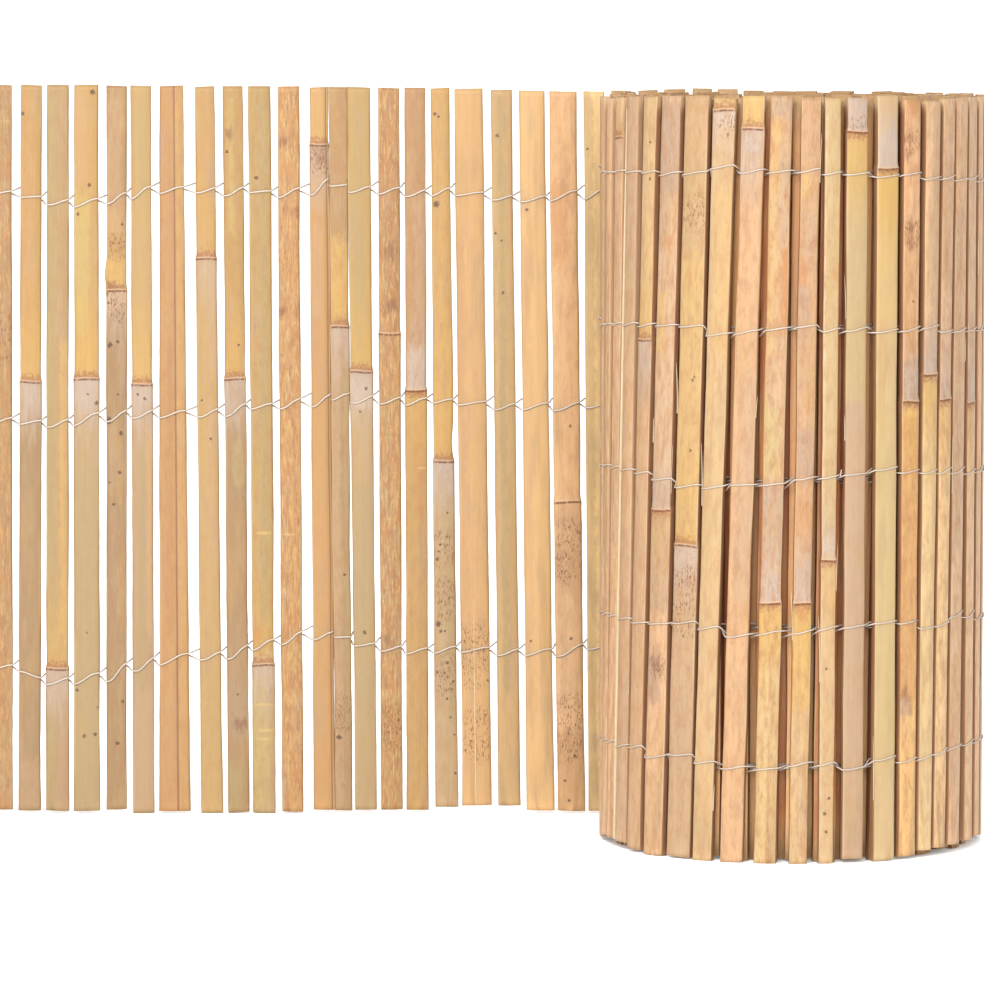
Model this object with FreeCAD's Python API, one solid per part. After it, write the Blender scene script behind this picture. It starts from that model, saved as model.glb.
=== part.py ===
"""Split bamboo slat fence, partly unrolled and standing on its slat ends.

A flat run of slats leaves a standing roll at the roll's back and goes to the left.
X runs along the flat run, +Y points away from the side that shows, +Z points up.
All sizes are in millimetres. The origin is under the middle of the whole fence, on the ground.
"""

import FreeCAD, Part
import math
import os

Vector = FreeCAD.Vector

# Sides of the flat run along Y
FRONT = -1
BEHIND = 1

# Whole fence
PANEL_HEIGHT = 500.0
FENCE_LENGTH = 4000.0

# Slats, split from a culm: flat back, crowned skin, a swelling at each knot
SLAT_THICKNESS = 4.8
CROWN_SHARE = 0.06
KNOT_RISE = 0.7
KNOT_SWELL = 0.8
KNOT_LENGTH = 6.0

# Binding wire
WIRE_DIAMETER = 1.2
WIRE_SEAT = 0.15
TWIST_HEIGHT = 5.0
FREE_TAIL = 6.0
END_TAIL = 2.0

# Roll, wound clockwise seen from above, from the back inwards
ROLL_RADIUS = 129.65
TURN_CLEARANCE = 4.1
TURN_PITCH = SLAT_THICKNESS + TURN_CLEARANCE
WIRE_WANDER = 1.2
WANDER_STEP = 1.9

# Levels of the wire rows as shares of the panel height
RUN_ROW_LEVELS = {"top": 0.854, "middle": 0.56, "bottom": 0.216}
ROLL_ROW_LEVELS = (0.126, 0.304, 0.5, 0.704, 0.906)

# Facets
RUN_CROWN_FACETS = 3
ROLL_CROWN_FACETS = 2
WIRE_SIDES = 3

# The 22 slats of the run that show, from the left, each as
# width, gap to the next (never less than the wire needs), lean of the top to the right,
# narrowing to the top, lift of the foot, height of the top over the panel height,
# and level of the knot as a share of the panel height, or None
RUN_SHOWN = (
    (14.5, 5.0, 2.0, 0.0, 2.5, 4.0, None),
    (15.0, 3.5, 4.0, 1.0, 2.0, 4.0, 0.6),
    (15.5, 3.5, 3.0, 1.0, 1.5, 4.0, 0.202),
    (17.5, 5.0, 2.0, 1.5, 1.5, 4.0, 0.604),
    (14.0, 3.5, 2.5, 0.0, 2.5, 3.5, 0.726),
    (14.5, 4.5, 0.0, 1.0, 0.0, 3.5, 0.596),
    (19.0, 7.5, -0.5, 5.5, 1.5, 3.5, None),
    (14.5, 4.5, -3.5, 1.5, 0.5, 3.0, 0.77),
    (14.5, 3.0, -2.5, 1.0, 0.5, 3.0, 0.604),
    (15.5, 4.5, -2.0, 0.0, 0.0, 3.0, 0.208),
    (15.0, 7.0, -2.0, 0.0, 1.0, 3.0, None),
    (13.0, 1.5, -3.0, 2.0, 2.5, 2.5, 0.926),
    (11.0, 1.5, -4.0, 0.0, 2.0, 2.5, 0.676),
    (15.0, 4.0, -4.0, 0.0, 2.5, 2.5, 0.614),
    (15.0, 3.0, -1.5, 0.0, 2.5, 2.0, None),
    (15.0, 4.0, -1.5, 1.0, 2.5, 2.0, 0.588),
    (14.5, 3.0, -4.5, 3.5, 4.5, 2.0, 0.49),
    (20.0, 5.0, -6.0, 0.5, 5.5, 1.5, None),
    (15.0, 4.5, -6.0, 1.0, 5.5, 0.5, None),
    (18.5, 2.5, -6.5, 1.5, 2.0, 0.0, None),
    (19.0, 3.5, -6.5, 0.0, 1.5, -0.5, 0.434),
    (14.5, 4.0, -4.5, 1.0, 1.5, -0.5, None),
)

# The run behind the roll, and the slat where the run and the roll join
RUN_HIDDEN = (
    (14.0, 4.0, -3.0, 0.0, 0.0, 0.0, None),
    (13.5, 4.0, -2.0, 0.5, 1.0, 0.5, None),
    (14.5, 4.5, -1.0, 0.0, 0.0, 1.0, None),
    (13.5, 4.0, 0.0, 0.5, 1.5, 1.5, None),
    (13.5, 4.0, 0.0, 0.0, 0.0, 1.0, None),
    (14.0, 4.0, 0.0, 0.0, 1.0, 0.0, None),
)
JOINING = (15.0, 4.5, 0.0, 0.0, 0.0, -1.0, None)

# The roll's outer turn: hidden at the back, then shown from right to left.
# Here a lean is positive where the top leans against the winding.
ROLL_BACK = (
    (14.0, 3.5, 0.0, 0.0, 1.0, -2.0, None),
    (14.5, 3.5, 1.0, 0.5, 0.0, -1.0, None),
    (13.0, 4.0, 0.0, 0.0, 0.5, -3.0, None),
    (14.5, 3.5, -1.0, 0.0, 1.5, 0.0, None),
    (13.5, 3.5, 0.0, 0.5, 0.0, -2.0, None),
    (14.0, 3.5, 1.0, 0.0, 1.0, -1.5, None),
    (15.0, 4.5, 0.5, 0.0, 0.0, -2.5, None),
    (13.0, 4.0, 1.5, 0.0, 0.5, -1.0, None),
    (14.5, 3.5, 1.0, 0.5, 1.0, -0.5, None),
    (14.0, 4.0, 2.0, 0.0, 0.0, -2.0, None),
    (14.5, 4.5, 2.0, 0.0, 2.5, -1.0, None),
)
ROLL_SHOWN = (
    (14.5, 5.0, 2.0, 0.0, 5.0, -2.0, None),
    (15.0, 4.5, 2.0, 0.0, 6.5, -2.0, None),
    (15.0, 4.5, 2.0, 0.0, 6.0, -2.0, None),
    (15.5, 1.5, 6.5, 0.0, 5.5, -2.5, None),
    (13.0, 2.0, 7.0, 0.0, 5.0, -2.5, 0.602),
    (13.5, 3.0, 5.0, -1.5, 4.5, -4.0, 0.636),
    (14.0, 3.5, 1.5, 0.0, 2.0, -3.0, 0.602),
    (16.0, 6.5, 0.5, 0.0, 0.5, 0.0, 0.92),
    (14.5, 4.5, 1.5, 0.0, 2.5, -1.0, 0.954),
    (10.5, 4.5, 3.0, -1.0, 0.0, -1.5, 0.398),
    (12.5, 6.5, 7.0, -1.0, 0.0, -1.5, 0.342),
    (14.5, 5.0, 9.5, 0.0, 0.0, 0.0, 0.342),
    (15.5, 4.5, 14.0, 0.0, 0.0, 0.0, 0.958),
    (15.0, 1.5, 15.0, -2.0, 0.0, -1.5, 0.982),
    (18.5, 3.0, 13.5, 0.0, 1.0, 0.0, 0.414),
    (17.0, 3.5, 15.5, 0.0, 0.0, -0.5, None),
    (14.0, 3.0, 17.0, 0.0, 2.0, -1.0, 0.68),
    (14.5, 3.5, 15.0, 0.0, 5.0, -1.0, None),
    (13.0, 4.0, 15.0, 0.0, 5.5, -2.0, None),
    (13.0, 4.5, 12.0, 0.0, 5.0, -3.0, None),
    (14.0, 4.5, 9.0, 0.0, 3.0, -2.0, None),
)

# The rest of the roll repeats these slats to the fence's end
ROLL_REST = (
    (14.5, 4.5, 6.0, 0.0, 1.0, -2.0, None),
    (15.5, 4.5, 4.0, 0.0, 0.0, -3.0, None),
    (13.5, 4.5, 3.0, 0.5, 1.5, -1.0, None),
    (15.0, 5.0, 3.5, 0.0, 0.5, 0.0, None),
    (14.0, 4.5, 2.0, 0.0, 0.0, -2.5, None),
    (16.0, 4.5, 3.0, 0.5, 2.0, -1.5, None),
    (14.5, 5.0, 4.5, 0.0, 0.5, -3.5, None),
    (15.0, 4.0, 5.0, 0.0, 1.0, -0.5, None),
    (13.5, 4.5, 6.5, 0.0, 0.0, -2.0, None),
)

# How far each row of the run's wire lies over its level in the gap left of each slat,
# from the first slat on. The gaps behind the roll repeat the last value.
RUN_ROW_DRIFTS = {
    "top": (1, -1, -5, -7, -6, -2, 2, 2, 1, 2, -1, 1,
            7, 3, 2, 1, 0, 1, -2, -4, -4, -1, 0),
    "middle": (-8, -9, -11, -10, -6, -4, -4, -4, -3, 1, 1, 4,
               7, 7, 6, 5, 5, 4, 2, 1, 1, 2, 1),
    "bottom": (-8, -10, -19, -19, -16, -9, -5, -2, -1, 4, 8, 13,
               13, 9, 5, 3, 2, 3, 2, 1, 1, 5, 4),
}


class Slat:
    """One slat, placed by the middle of its thickness at half height.

    across runs along its width and outward points out of its crowned skin.
    """

    def __init__(self, sizes):
        self.width, gap, self.lean, self.taper = sizes[:4]
        self.gap = max(gap, 2 * side_offset())
        self.lift, self.rise, self.knot_level = sizes[4:]

    def place(self, middle, across, outward):
        self.middle = middle
        self.across = across
        self.outward = outward

    @property
    def crown(self):
        return CROWN_SHARE * self.width

    @property
    def top(self):
        return PANEL_HEIGHT + self.rise

    def up_share(self, z):
        """How far z lies above half height, as a share of the panel height."""
        return z / PANEL_HEIGHT - 0.5

    def width_at(self, z):
        return self.width - self.taper * self.up_share(z)

    def edge(self, side, z):
        """Distance along across from the middle to the edge on that side, at height z."""
        return self.lean * self.up_share(z) + side * self.width_at(z) / 2

    def ring(self, z, swell, rise, facets):
        """The slat's cross-section at height z as points in space."""
        width = self.width_at(z) + swell
        half = width / 2
        back = -SLAT_THICKNESS / 2
        skin = SLAT_THICKNESS / 2 + rise
        outline = [(-half, back), (half, back)]
        for step in range(facets + 1):
            along = 1 - 2 * step / facets
            outline.append((half * along, skin + CROWN_SHARE * width * (1 - along**2)))
        shift = self.lean * self.up_share(z)
        base = self.middle + Vector(0, 0, z)
        return [base + self.across * (shift + a) + self.outward * b for a, b in outline]

    def solid(self, facets):
        rings = [self.ring(self.lift, 0, 0, facets)]
        if self.knot_level is not None:
            knot = self.knot_level * PANEL_HEIGHT
            rings.append(self.ring(knot - KNOT_LENGTH / 2, 0, 0, facets))
            rings.append(self.ring(knot, KNOT_SWELL, KNOT_RISE, facets))
            rings.append(self.ring(knot + KNOT_LENGTH / 2, 0, 0, facets))
        rings.append(self.ring(self.top, 0, 0, facets))
        return skinned(rings)


def skinned(rings):
    """A closed solid over a row of matching rings, with flat faces between them and flat ends."""
    faces = [Part.Face(Part.makePolygon(ring + ring[:1])) for ring in (rings[0], rings[-1])]
    for low, high in zip(rings, rings[1:]):
        for k in range(len(low)):
            n = (k + 1) % len(low)
            faces.append(Part.Face(Part.makePolygon([low[k], low[n], high[n], high[k], low[k]])))
    solid = Part.Solid(Part.Shell(faces))
    if solid.Volume < 0:
        solid.reverse()
    return solid


def section_radius():
    """Corner radius of the faceted wire section that has the round wire's area."""
    step = 2 * math.pi / WIRE_SIDES
    return WIRE_DIAMETER / 2 * math.sqrt(step / math.sin(step))


def flat_offset():
    """How far the centre of a wire with a flat on its seat lies from that seat."""
    return section_radius() * math.cos(math.pi / WIRE_SIDES) + WIRE_SEAT


def side_offset():
    """The same for a wire with a flat below, whose sides pass the slats."""
    corners = [(2 * k + 1) * math.pi / WIRE_SIDES for k in range(WIRE_SIDES)]
    return section_radius() * max(math.sin(turn) for turn in corners) + WIRE_SEAT


def wire_solid(points, facing):
    """A wire along straight runs, mitred at its bends, with one flat of its section towards facing."""
    ways = [(there - here).normalize() for here, there in zip(points, points[1:])]
    inward = (facing - ways[0] * facing.dot(ways[0])).normalize()
    sideways = ways[0].cross(inward)
    ring = []
    for k in range(WIRE_SIDES):
        turn = (2 * k + 1) * math.pi / WIRE_SIDES
        corner = inward * math.cos(turn) + sideways * math.sin(turn)
        ring.append(points[0] + corner * section_radius())
    rings = [ring]
    for there, way, onward in zip(points[1:], ways, ways[1:] + ways[-1:]):
        mitre = way + onward
        ring = [corner + way * ((there - corner).dot(mitre) / way.dot(mitre)) for corner in ring]
        rings.append(ring)
    return skinned(rings)


def lay_run():
    """The flat run's slats, placed leftwards from the joining slat, skins to the front."""
    slats = [Slat(sizes) for sizes in RUN_SHOWN + RUN_HIDDEN]
    x = -JOINING[0] / 2
    for slat in reversed(slats):
        x -= slat.gap + slat.width / 2
        slat.place(Vector(x, ROLL_RADIUS, 0), Vector(1, 0, 0), Vector(0, -1, 0))
        x -= slat.width / 2
    return slats


def wind_roll(used_length):
    """The roll's slats on a spiral inwards: the joining slat, the outer turn and the turns inside it."""
    wound = 0.0
    angle = 0.0
    outer, inner = [], []
    sizes = (JOINING,) + ROLL_BACK + ROLL_SHOWN
    previous = None
    count = 0
    while used_length + wound < FENCE_LENGTH:
        rest = ROLL_REST[(count - len(sizes)) % len(ROLL_REST)]
        slat = Slat(sizes[count] if count < len(sizes) else rest)
        radius = ROLL_RADIUS - TURN_PITCH * angle / (2 * math.pi)
        if previous:
            step = previous.width / 2 + previous.gap + slat.width / 2
            angle += step / radius
            wound += step
            radius = ROLL_RADIUS - TURN_PITCH * angle / (2 * math.pi)
        slope = math.atan(TURN_PITCH / (2 * math.pi * radius)) if previous else 0.0
        facing = angle + slope
        slat.place(
            Vector(radius * math.sin(angle), radius * math.cos(angle), 0),
            Vector(-math.cos(facing), math.sin(facing), 0),
            Vector(math.sin(facing), math.cos(facing), 0),
        )
        (outer if angle < 2 * math.pi else inner).append(slat)
        previous = slat
        count += 1
    return outer[0], outer[1:], inner


def strand_points(slats, row, in_front):
    """The path of one of a row's two strands through the flat run.

    It passes in front of every second slat and behind the others, changing sides in each gap.
    In front of a slat it rises to the right, and behind one it falls.
    """
    offset = side_offset()
    side = FRONT if in_front else BEHIND
    y = ROLL_RADIUS + side * WIRE_DIAMETER
    first = row_height(row, 0)
    start = slats[0].middle.x + slats[0].edge(-1, first) - FREE_TAIL
    points = [Vector(start, y, first + side * TWIST_HEIGHT / 2)]
    for number, slat in enumerate(slats):
        depth = SLAT_THICKNESS / 2 + (slat.crown if slat.outward.y * side > 0 else 0)
        y = ROLL_RADIUS + side * (depth + offset)
        left = row_height(row, number) + side * TWIST_HEIGHT / 2
        right = row_height(row, number + 1) - side * TWIST_HEIGHT / 2
        way = slat.across.x
        points.append(Vector(slat.middle.x + way * slat.edge(-way, left) - offset, y, left))
        points.append(Vector(slat.middle.x + way * slat.edge(way, right) + offset, y, right))
        side = -side
    y = ROLL_RADIUS + side * WIRE_DIAMETER
    points.append(Vector(points[-1].x + END_TAIL, y, points[-1].z))
    return points


def row_height(row, gap):
    """The height of a row of the run's wire in that gap, counted from the left."""
    drifts = RUN_ROW_DRIFTS[row]
    return RUN_ROW_LEVELS[row] * PANEL_HEIGHT + drifts[min(gap, len(drifts) - 1)]


def roll_wire_points(slats, height):
    """One wire's path over the skins of all the roll's slats, with a bend in every gap."""
    offset = flat_offset()
    reach = [s.middle.dot(s.outward) + SLAT_THICKNESS / 2 + s.crown + offset for s in slats]
    first, last = slats[0], slats[-1]
    tail = first.width / 2 + END_TAIL
    points = [first.outward * reach[0] + first.across * tail + Vector(0, 0, height)]
    for k in range(len(slats) - 1):
        here, there = slats[k].outward, slats[k + 1].outward
        onward = -slats[k].across
        along = (reach[k + 1] - reach[k] * here.dot(there)) / onward.dot(there)
        wander = WIRE_WANDER * math.sin(WANDER_STEP * k)
        points.append(here * reach[k] + onward * along + Vector(0, 0, height + wander))
    points.append(last.outward * reach[-1] - last.across * tail + Vector(0, 0, height))
    return points


def main():
    run = lay_run()
    used_length = JOINING[0] / 2 - run[0].middle.x + run[0].width / 2
    joining, outer, inner = wind_roll(used_length)
    nodes = {}
    for number, slat in enumerate(run, 1):
        nodes[f"run_slat_{number:02d}"] = [slat.solid(RUN_CROWN_FACETS)]
    nodes["joining_slat"] = [joining.solid(ROLL_CROWN_FACETS)]
    nodes["roll_outer_turn"] = [slat.solid(ROLL_CROWN_FACETS) for slat in outer]
    nodes["roll_inner_turns"] = [slat.solid(ROLL_CROWN_FACETS) for slat in inner]
    for row in RUN_ROW_LEVELS:
        for strand, in_front in (("a", True), ("b", False)):
            points = strand_points(run + [joining], row, in_front)
            nodes[f"run_wire_{row}_{strand}"] = [wire_solid(points, Vector(0, 0, -1))]
    for number, level in enumerate(ROLL_ROW_LEVELS, 1):
        points = roll_wire_points([joining] + outer + inner, level * PANEL_HEIGHT)
        nodes[f"roll_wire_{number}"] = [wire_solid(points, -joining.outward)]
    whole = Part.makeCompound([solid for solids in nodes.values() for solid in solids]).BoundBox
    to_origin = -Vector(whole.Center.x, whole.Center.y, whole.ZMin)
    os.makedirs("parts", exist_ok=True)
    for name, solids in nodes.items():
        shape = solids[0] if len(solids) == 1 else Part.makeCompound(solids)
        shape.translate(to_origin)
        shape.exportStep(f"parts/{name}.step")


main()
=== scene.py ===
"""Looks of the split bamboo slat fence: weathered slats, twisted binding wire, studio stage.

Every slat is rebuilt over its CAD solid, whose place, size and lean are read from the frame.
Lengths are in metres. Heights along a slat are measured from the ground.
"""

import math

import bpy
import numpy as np
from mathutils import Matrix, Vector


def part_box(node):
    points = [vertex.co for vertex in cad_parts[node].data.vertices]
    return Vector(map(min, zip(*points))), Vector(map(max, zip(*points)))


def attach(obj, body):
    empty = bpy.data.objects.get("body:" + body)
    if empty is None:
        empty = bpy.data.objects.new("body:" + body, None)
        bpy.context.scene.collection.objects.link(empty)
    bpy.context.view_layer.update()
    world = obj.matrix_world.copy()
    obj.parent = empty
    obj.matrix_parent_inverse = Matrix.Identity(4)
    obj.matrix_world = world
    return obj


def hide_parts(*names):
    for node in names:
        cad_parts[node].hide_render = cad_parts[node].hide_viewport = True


MM = 0.001

# Camera, at the photograph's place: 984 pixels a side
CAMERA_PLACE = (0.0109, -4.1418, 0.5573)
CAMERA_PITCH = 0.0781
FOCAL_PIXELS = 6200.6
IMAGE_PIXELS = 984
SENSOR_WIDTH = 36.0

# Mesh density
SHOWN_ROWS, HIDDEN_ROWS = 130, 30
SHOWN_SKIN, HIDDEN_SKIN = 11, 7
WIRE_SIDES = 8
ROLL_WIRE_SIDES = 6
SPLINTER_SIDES = 4
OUTER_SPLINTERS, RUN_SPLINTERS = 46, 8
WIRE_STEP = 1.2 * MM
ROLL_WIRE_STEP = 3.0 * MM

# Split edges, ends and knots of a slat
EDGE_ROUND = 0.45 * MM
EDGE_WAVER = 0.3 * MM
END_SLANT = 0.7 * MM
KNOT_RISE = 0.55 * MM
KNOT_SPREAD = 2.4 * MM
KNOT_STEP = 0.35 * MM
KNOT_TILT = 0.04
KNOT_WAVE = 0.25 * MM
SPLIT_DEPTH = 0.5 * MM
LEAST_STEP = 0.09
NO_KNOT = 9.0
KNOT_RIDGE = 0.7 * MM
KNOT_GROOVE, KNOT_GROOVE_UP, KNOT_GROOVE_WIDTH = 0.2 * MM, 1.4 * MM, 0.6 * MM
KNOT_BULGE = 0.35 * MM
STEP_START, STEP_END = 1.5 * MM, 60 * MM
SIDE_LEVELS = (0.86, 0.3, 0.3, 0.86)
SIDE_ROUGHNESS = 0.12 * MM
END_CHIPS = 0.08 * MM
# Painted light on the lowest few mm of every slat, against the shade where it stands on the floor
FOOT_PAINTED_LIGHT, FOOT_PAINTED_LIGHT_LENGTH = 0.35, 3.0 * MM

# How soft the washes end along and across a slat
WASH_EDGE = 14 * MM
WASH_FADE = 0.6

# Wire
WIRE_RADIUS = 0.6 * MM
ROLL_WIRE_RADIUS = 0.5 * MM
ROLL_TWIST = 2.2 * MM
LEAST_TWIST = 1.6 * MM
ROW_WAVER, ROW_BENDS = 1.6 * MM, 9.0
FREE_START, FREE_END, FREE_SIDE = 5.0 * MM, 1.5 * MM, 1.5 * MM
LENS_SLOPE = 0.5

# How far each row of wire lies off its CAD level in mm, as the photograph shows it
RUN_ROW_LIFTS = {"top": 4.0, "middle": 2.8, "bottom": 4.5}
ROLL_ROW_LIFTS = {1: 0.0, 2: 2.0, 3: 0.0, 4: -2.5, 5: -3.5}

# How far the wires lie off their row over each of the roll's shown slats in mm, from the right
ROLL_PASS_LIFTS = {
    1: (7, 7, 7, 7, 5.2, 3.3, 2, 4, -1.3, 2.6, 2, -0.7, -1.3, 0, 4.6, 1.3, 7, 6, 7, 7, 7),
    2: (
        -2.6, -1.3, 2.6, 4.6, -1.3, -2.6, 1.3, 2.6, 0.7, -0.7, -3.3, -4.6, -6, -1.3, 2, 0, -0.7, 0,
        0.7, 0, 0,
    ),
    3: (-0.7, 0, 0, 2, 2.6, 4.6, 6, 7.8, 4.6, 2.6, 2, -2.6, -3.3, -6, -6, -1.3, 2, 2.6, 3.3, 3.3, 2.6),
    4: (
        -6, -5.5, -4, -4, -4, -0.7, -2.6, -2.6, -1.3, -2, 0.7, -0.7, -3.3, -4.6, 0.7, 0.7, -1.3, -1.3,
        -2, -2.6, -4.6,
    ),
    5: (-6, -6, -4.5, -5, -4, -4.5, -1.3, -2.6, -0.7, 0, 1.3, 1.3, 1.3, 4, 0, -1.3, 0, 0, -0.7, -2, -2),
}
PASS_TAPER = (0.2, 0.4, 0.6, 0.8)

# Studio
WORLD_LIGHT = 1.46
FLOOR_WHITE = 0.86
FLOOR_GLOW = 0.18
KEY_POWER, FILL_POWER = 120.0, 80.0
SLAT_LIGHT = (2.78, 2.80, 2.95)

# Tones as they look on screen in that light
TONES = {
    "tan": (212, 170, 121),
    "straw": (230, 185, 119),
    "khaki": (219, 182, 133),
    "olive": (216, 181, 121),
    "gold": (234, 188, 125),
    "amber": (222, 179, 116),
    "light": (230, 191, 132),
    "sand": (214, 183, 145),
    "ash": (200, 165, 125),
    "dun": (213, 178, 142),
    "rust": (221, 170, 119),
    "orange": (227, 177, 121),
    "apricot": (237, 190, 136),
    "cream": (241, 197, 143),
    "brown": (209, 161, 112),
    "rose": (214, 168, 125),
    "blush": (231, 184, 140),
    "wheat": (240, 202, 150),
    "flesh": (227, 184, 143),
    "mauve": (220, 184, 150),
    "biscuit": (234, 194, 151),
    "lemon": (243, 208, 148),
    "moss": (234, 202, 149),
    "copper": (229, 179, 136),
    "umber": (158, 102, 72),
    # deep, side and shade are painted shade inside the roll
    "deep": (206, 136, 90),
    "side": (150, 98, 62),
    "shade": (184, 114, 76),
    "bloom": (224, 200, 184),
    "slate": (204, 173, 150),
    "frost": (238, 217, 200),
    "sage": (202, 178, 130),
    "lime": (226, 204, 134),
    "sun": (244, 200, 122),
    "haze": (210, 174, 146),
    "band": (240, 192, 106),
    "ember": (226, 152, 90),
    "scar": (196, 134, 90),
    "lip": (243, 203, 160),
    "line": (140, 80, 48),
    "spot": (88, 60, 42),
    "fleck": (246, 206, 136),
    "pale": (248, 218, 174),
    "fibre": (255, 236, 204),
    "zinc": (255, 240, 228),
    "grime": (226, 190, 168),
}

# Looks of the run's slats from the left: tone over the knot, tone under it, bloom at the knot
# (under it if negative, over it if positive), mottling and specks
RUN_LOOKS = (
    ("tan", "tan", 0, 0.8, 0.5),
    ("straw", "ash", -0.7, 0.25, 0.2),
    ("khaki", "dun", -0.6, 0.25, 0.1),
    ("straw", "sand", -0.8, 0.15, 0.1),
    ("tan", "ash", -0.5, 0.4, 0.5),
    ("light", "dun", -0.7, 0.1, 0.1),
    ("rust", "rust", 0, 0.3, 0.2),
    ("gold", "light", -0.35, 0.2, 0.1),
    ("amber", "ash", -0.6, 0.3, 0.3),
    ("olive", "sand", -0.5, 0.4, 0.2),
    ("orange", "orange", 0, 1.0, 0.4),
    ("apricot", "orange", -0.4, 0.15, 0.1),
    ("tan", "ash", -0.6, 0.4, 0.3),
    ("olive", "sand", -0.7, 0.15, 0.3),
    ("brown", "tan", 0, 1.0, 0.5),
    ("rose", "amber", 0.7, 0.4, 0.2),
    ("straw", "sand", -0.8, 0.3, 0.4),
    ("apricot", "apricot", 0, 0.15, 0.1),
    ("khaki", "khaki", 0, 0.2, 0.2),
    ("cream", "cream", 0, 0.05, 0.0),
    ("blush", "flesh", 0, 0.35, 0.7),
    ("khaki", "khaki", 0, 0.2, 0.2),
)

# Place of the lengthwise split of a run slat, from -1 to 1 across
RUN_SPLITS = {6: 0.23, 11: 0.74}

# Looks of the roll's slats that show, from the right as the roll is wound
ROLL_LOOKS = (
    ("dun", "dun", 0, 0.5, 0.2),
    ("biscuit", "flesh", 0, 0.5, 0.2),
    ("mauve", "biscuit", 0.6, 0.55, 0.3),
    ("mauve", "flesh", 0, 0.6, 0.3),
    ("mauve", "wheat", 0.6, 0.6, 0.3),
    ("biscuit", "moss", 0.8, 0.4, 0.3),
    ("copper", "gold", 0.7, 0.6, 0.5),
    ("moss", "moss", 1.0, 0.1, 0.1),
    ("moss", "mauve", 0.9, 0.2, 0.2),
    ("moss", "wheat", 0.4, 0.4, 0.3),
    ("blush", "wheat", 0.8, 0.6, 0.3),
    ("biscuit", "lemon", 0.9, 0.7, 0.3),
    ("lemon", "blush", -0.8, 0.5, 0.3),
    ("lemon", "wheat", -0.5, 0.4, 0.3),
    ("wheat", "biscuit", -0.7, 0.5, 0.8),
    ("mauve", "flesh", 0.5, 0.6, 0.3),
    ("wheat", "flesh", -0.6, 0.5, 0.2),
    ("flesh", "dun", 0, 0.5, 0.3),
    ("mauve", "flesh", -0.3, 0.6, 0.3),
    ("flesh", "dun", 0, 0.6, 0.3),
    ("mauve", "dun", 0, 0.6, 0.3),
)
ROLL_HIDDEN_SLATS = 11
# From this one on they show paler sides, with less painted shade on them
ROLL_PALE_SIDES = 17
PALE_SIDES_DEPTH = 0.4

# Looks of the slats that don't show in the photograph, picked in turn
OTHER_LOOKS = (
    ("tan", "khaki", 0, 0.4, 0.3),
    ("straw", "tan", 0, 0.3, 0.2),
    ("rose", "tan", 0, 0.4, 0.4),
    ("orange", "rust", 0, 0.6, 0.3),
    ("khaki", "olive", 0, 0.2, 0.3),
    ("apricot", "biscuit", 0, 0.2, 0.1),
    ("brown", "tan", 0, 0.5, 0.4),
)

# Looks of the inner turns, in darker and redder tones: painted shade of the narrow space between the turns
INNER_LOOKS = (
    ("deep", "shade", 0, 0.6, 0.4),
    ("brown", "deep", 0, 0.5, 0.3),
    ("shade", "deep", 0, 0.6, 0.5),
    ("tan", "rose", 0, 0.4, 0.4),
    ("deep", "shade", 0, 0.6, 0.3),
    ("rose", "deep", 0, 0.5, 0.4),
)
# Length from each end over which the inner turns' painted shade gives way to painted light, and the tints
# of that painted shade higher up and near the ground, where painted floor light makes it paler
SHADE_END_FADE = 30 * MM
INNER_SHADE_TINT, GROUND_LIT_SHADE_TINT = (1.6, 1.3, 1.1), (1.95, 1.85, 1.65)

# Lengthwise stripes on the skins
GREENISH, PINKISH = (0.90, 0.96, 0.86), (1.0, 0.93, 1.0)

# Tint of all slats of the run and of the roll, and painted light that makes a slat paler towards its foot
# and darker towards its top
RUN_TINT = (1.01, 0.985, 0.91)
ROLL_TINT = (1.02, 1.02, 1.05)
GROUND_PAINTED_LIGHT = 0.05
PAINTED_LIGHT_FALL = 0.2

# Slats that are paler or darker than their tones, by a factor: mostly painted light and shade for how light
# falls on them (on the run paler in the roll's shade on the right and darker on the left, on the roll paler
# at its turned-away edges), partly their own tone
RUN_TONE_AND_PAINTED_LIGHT = {
    0: 0.88, 1: 0.88, 2: 0.9, 3: 0.96, 4: 0.87, 5: 0.93, 7: 0.91, 8: 0.92, 9: 0.96, 12: 0.96, 13: 1.03,
    14: 0.95, 16: 1.07, 17: 1.12, 18: 1.16, 19: 1.22, 20: 1.42, 21: 1.85,
}
SHOWN_TONE_AND_PAINTED_LIGHT = {
    0: 1.4, 1: 1.4, 2: 1.4, 3: 1.4, 4: 1.4, 5: 1.35, 6: 1.42, 7: 1.06, 12: 1.15, 14: 0.9, 15: 1.25,
    16: 1.06, 17: 1.18, 18: 1.5, 19: 1.5, 20: 1.5,
}

# Faint knots without a swelling: slat number and height in mm
RUN_FAINT_KNOTS = {14: 333}
ROLL_FAINT_KNOTS = {2: 297, 15: 229, 18: 472}
ROLL_MOVED_KNOTS = {7: -7.0}

# Nicks and bulges of a slat's edge: slat, side, height, depth and half length in mm
RUN_NICKS = (
    (11, 1, 250, -1.1, 900), (12, -1, 250, -1.1, 900), (12, 1, 560, -1.4, 300), (13, -1, 560, -1.4, 300),
    (16, 1, 258, 1, 8), (4, -1, 373, -1.6, 9),
)

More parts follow.
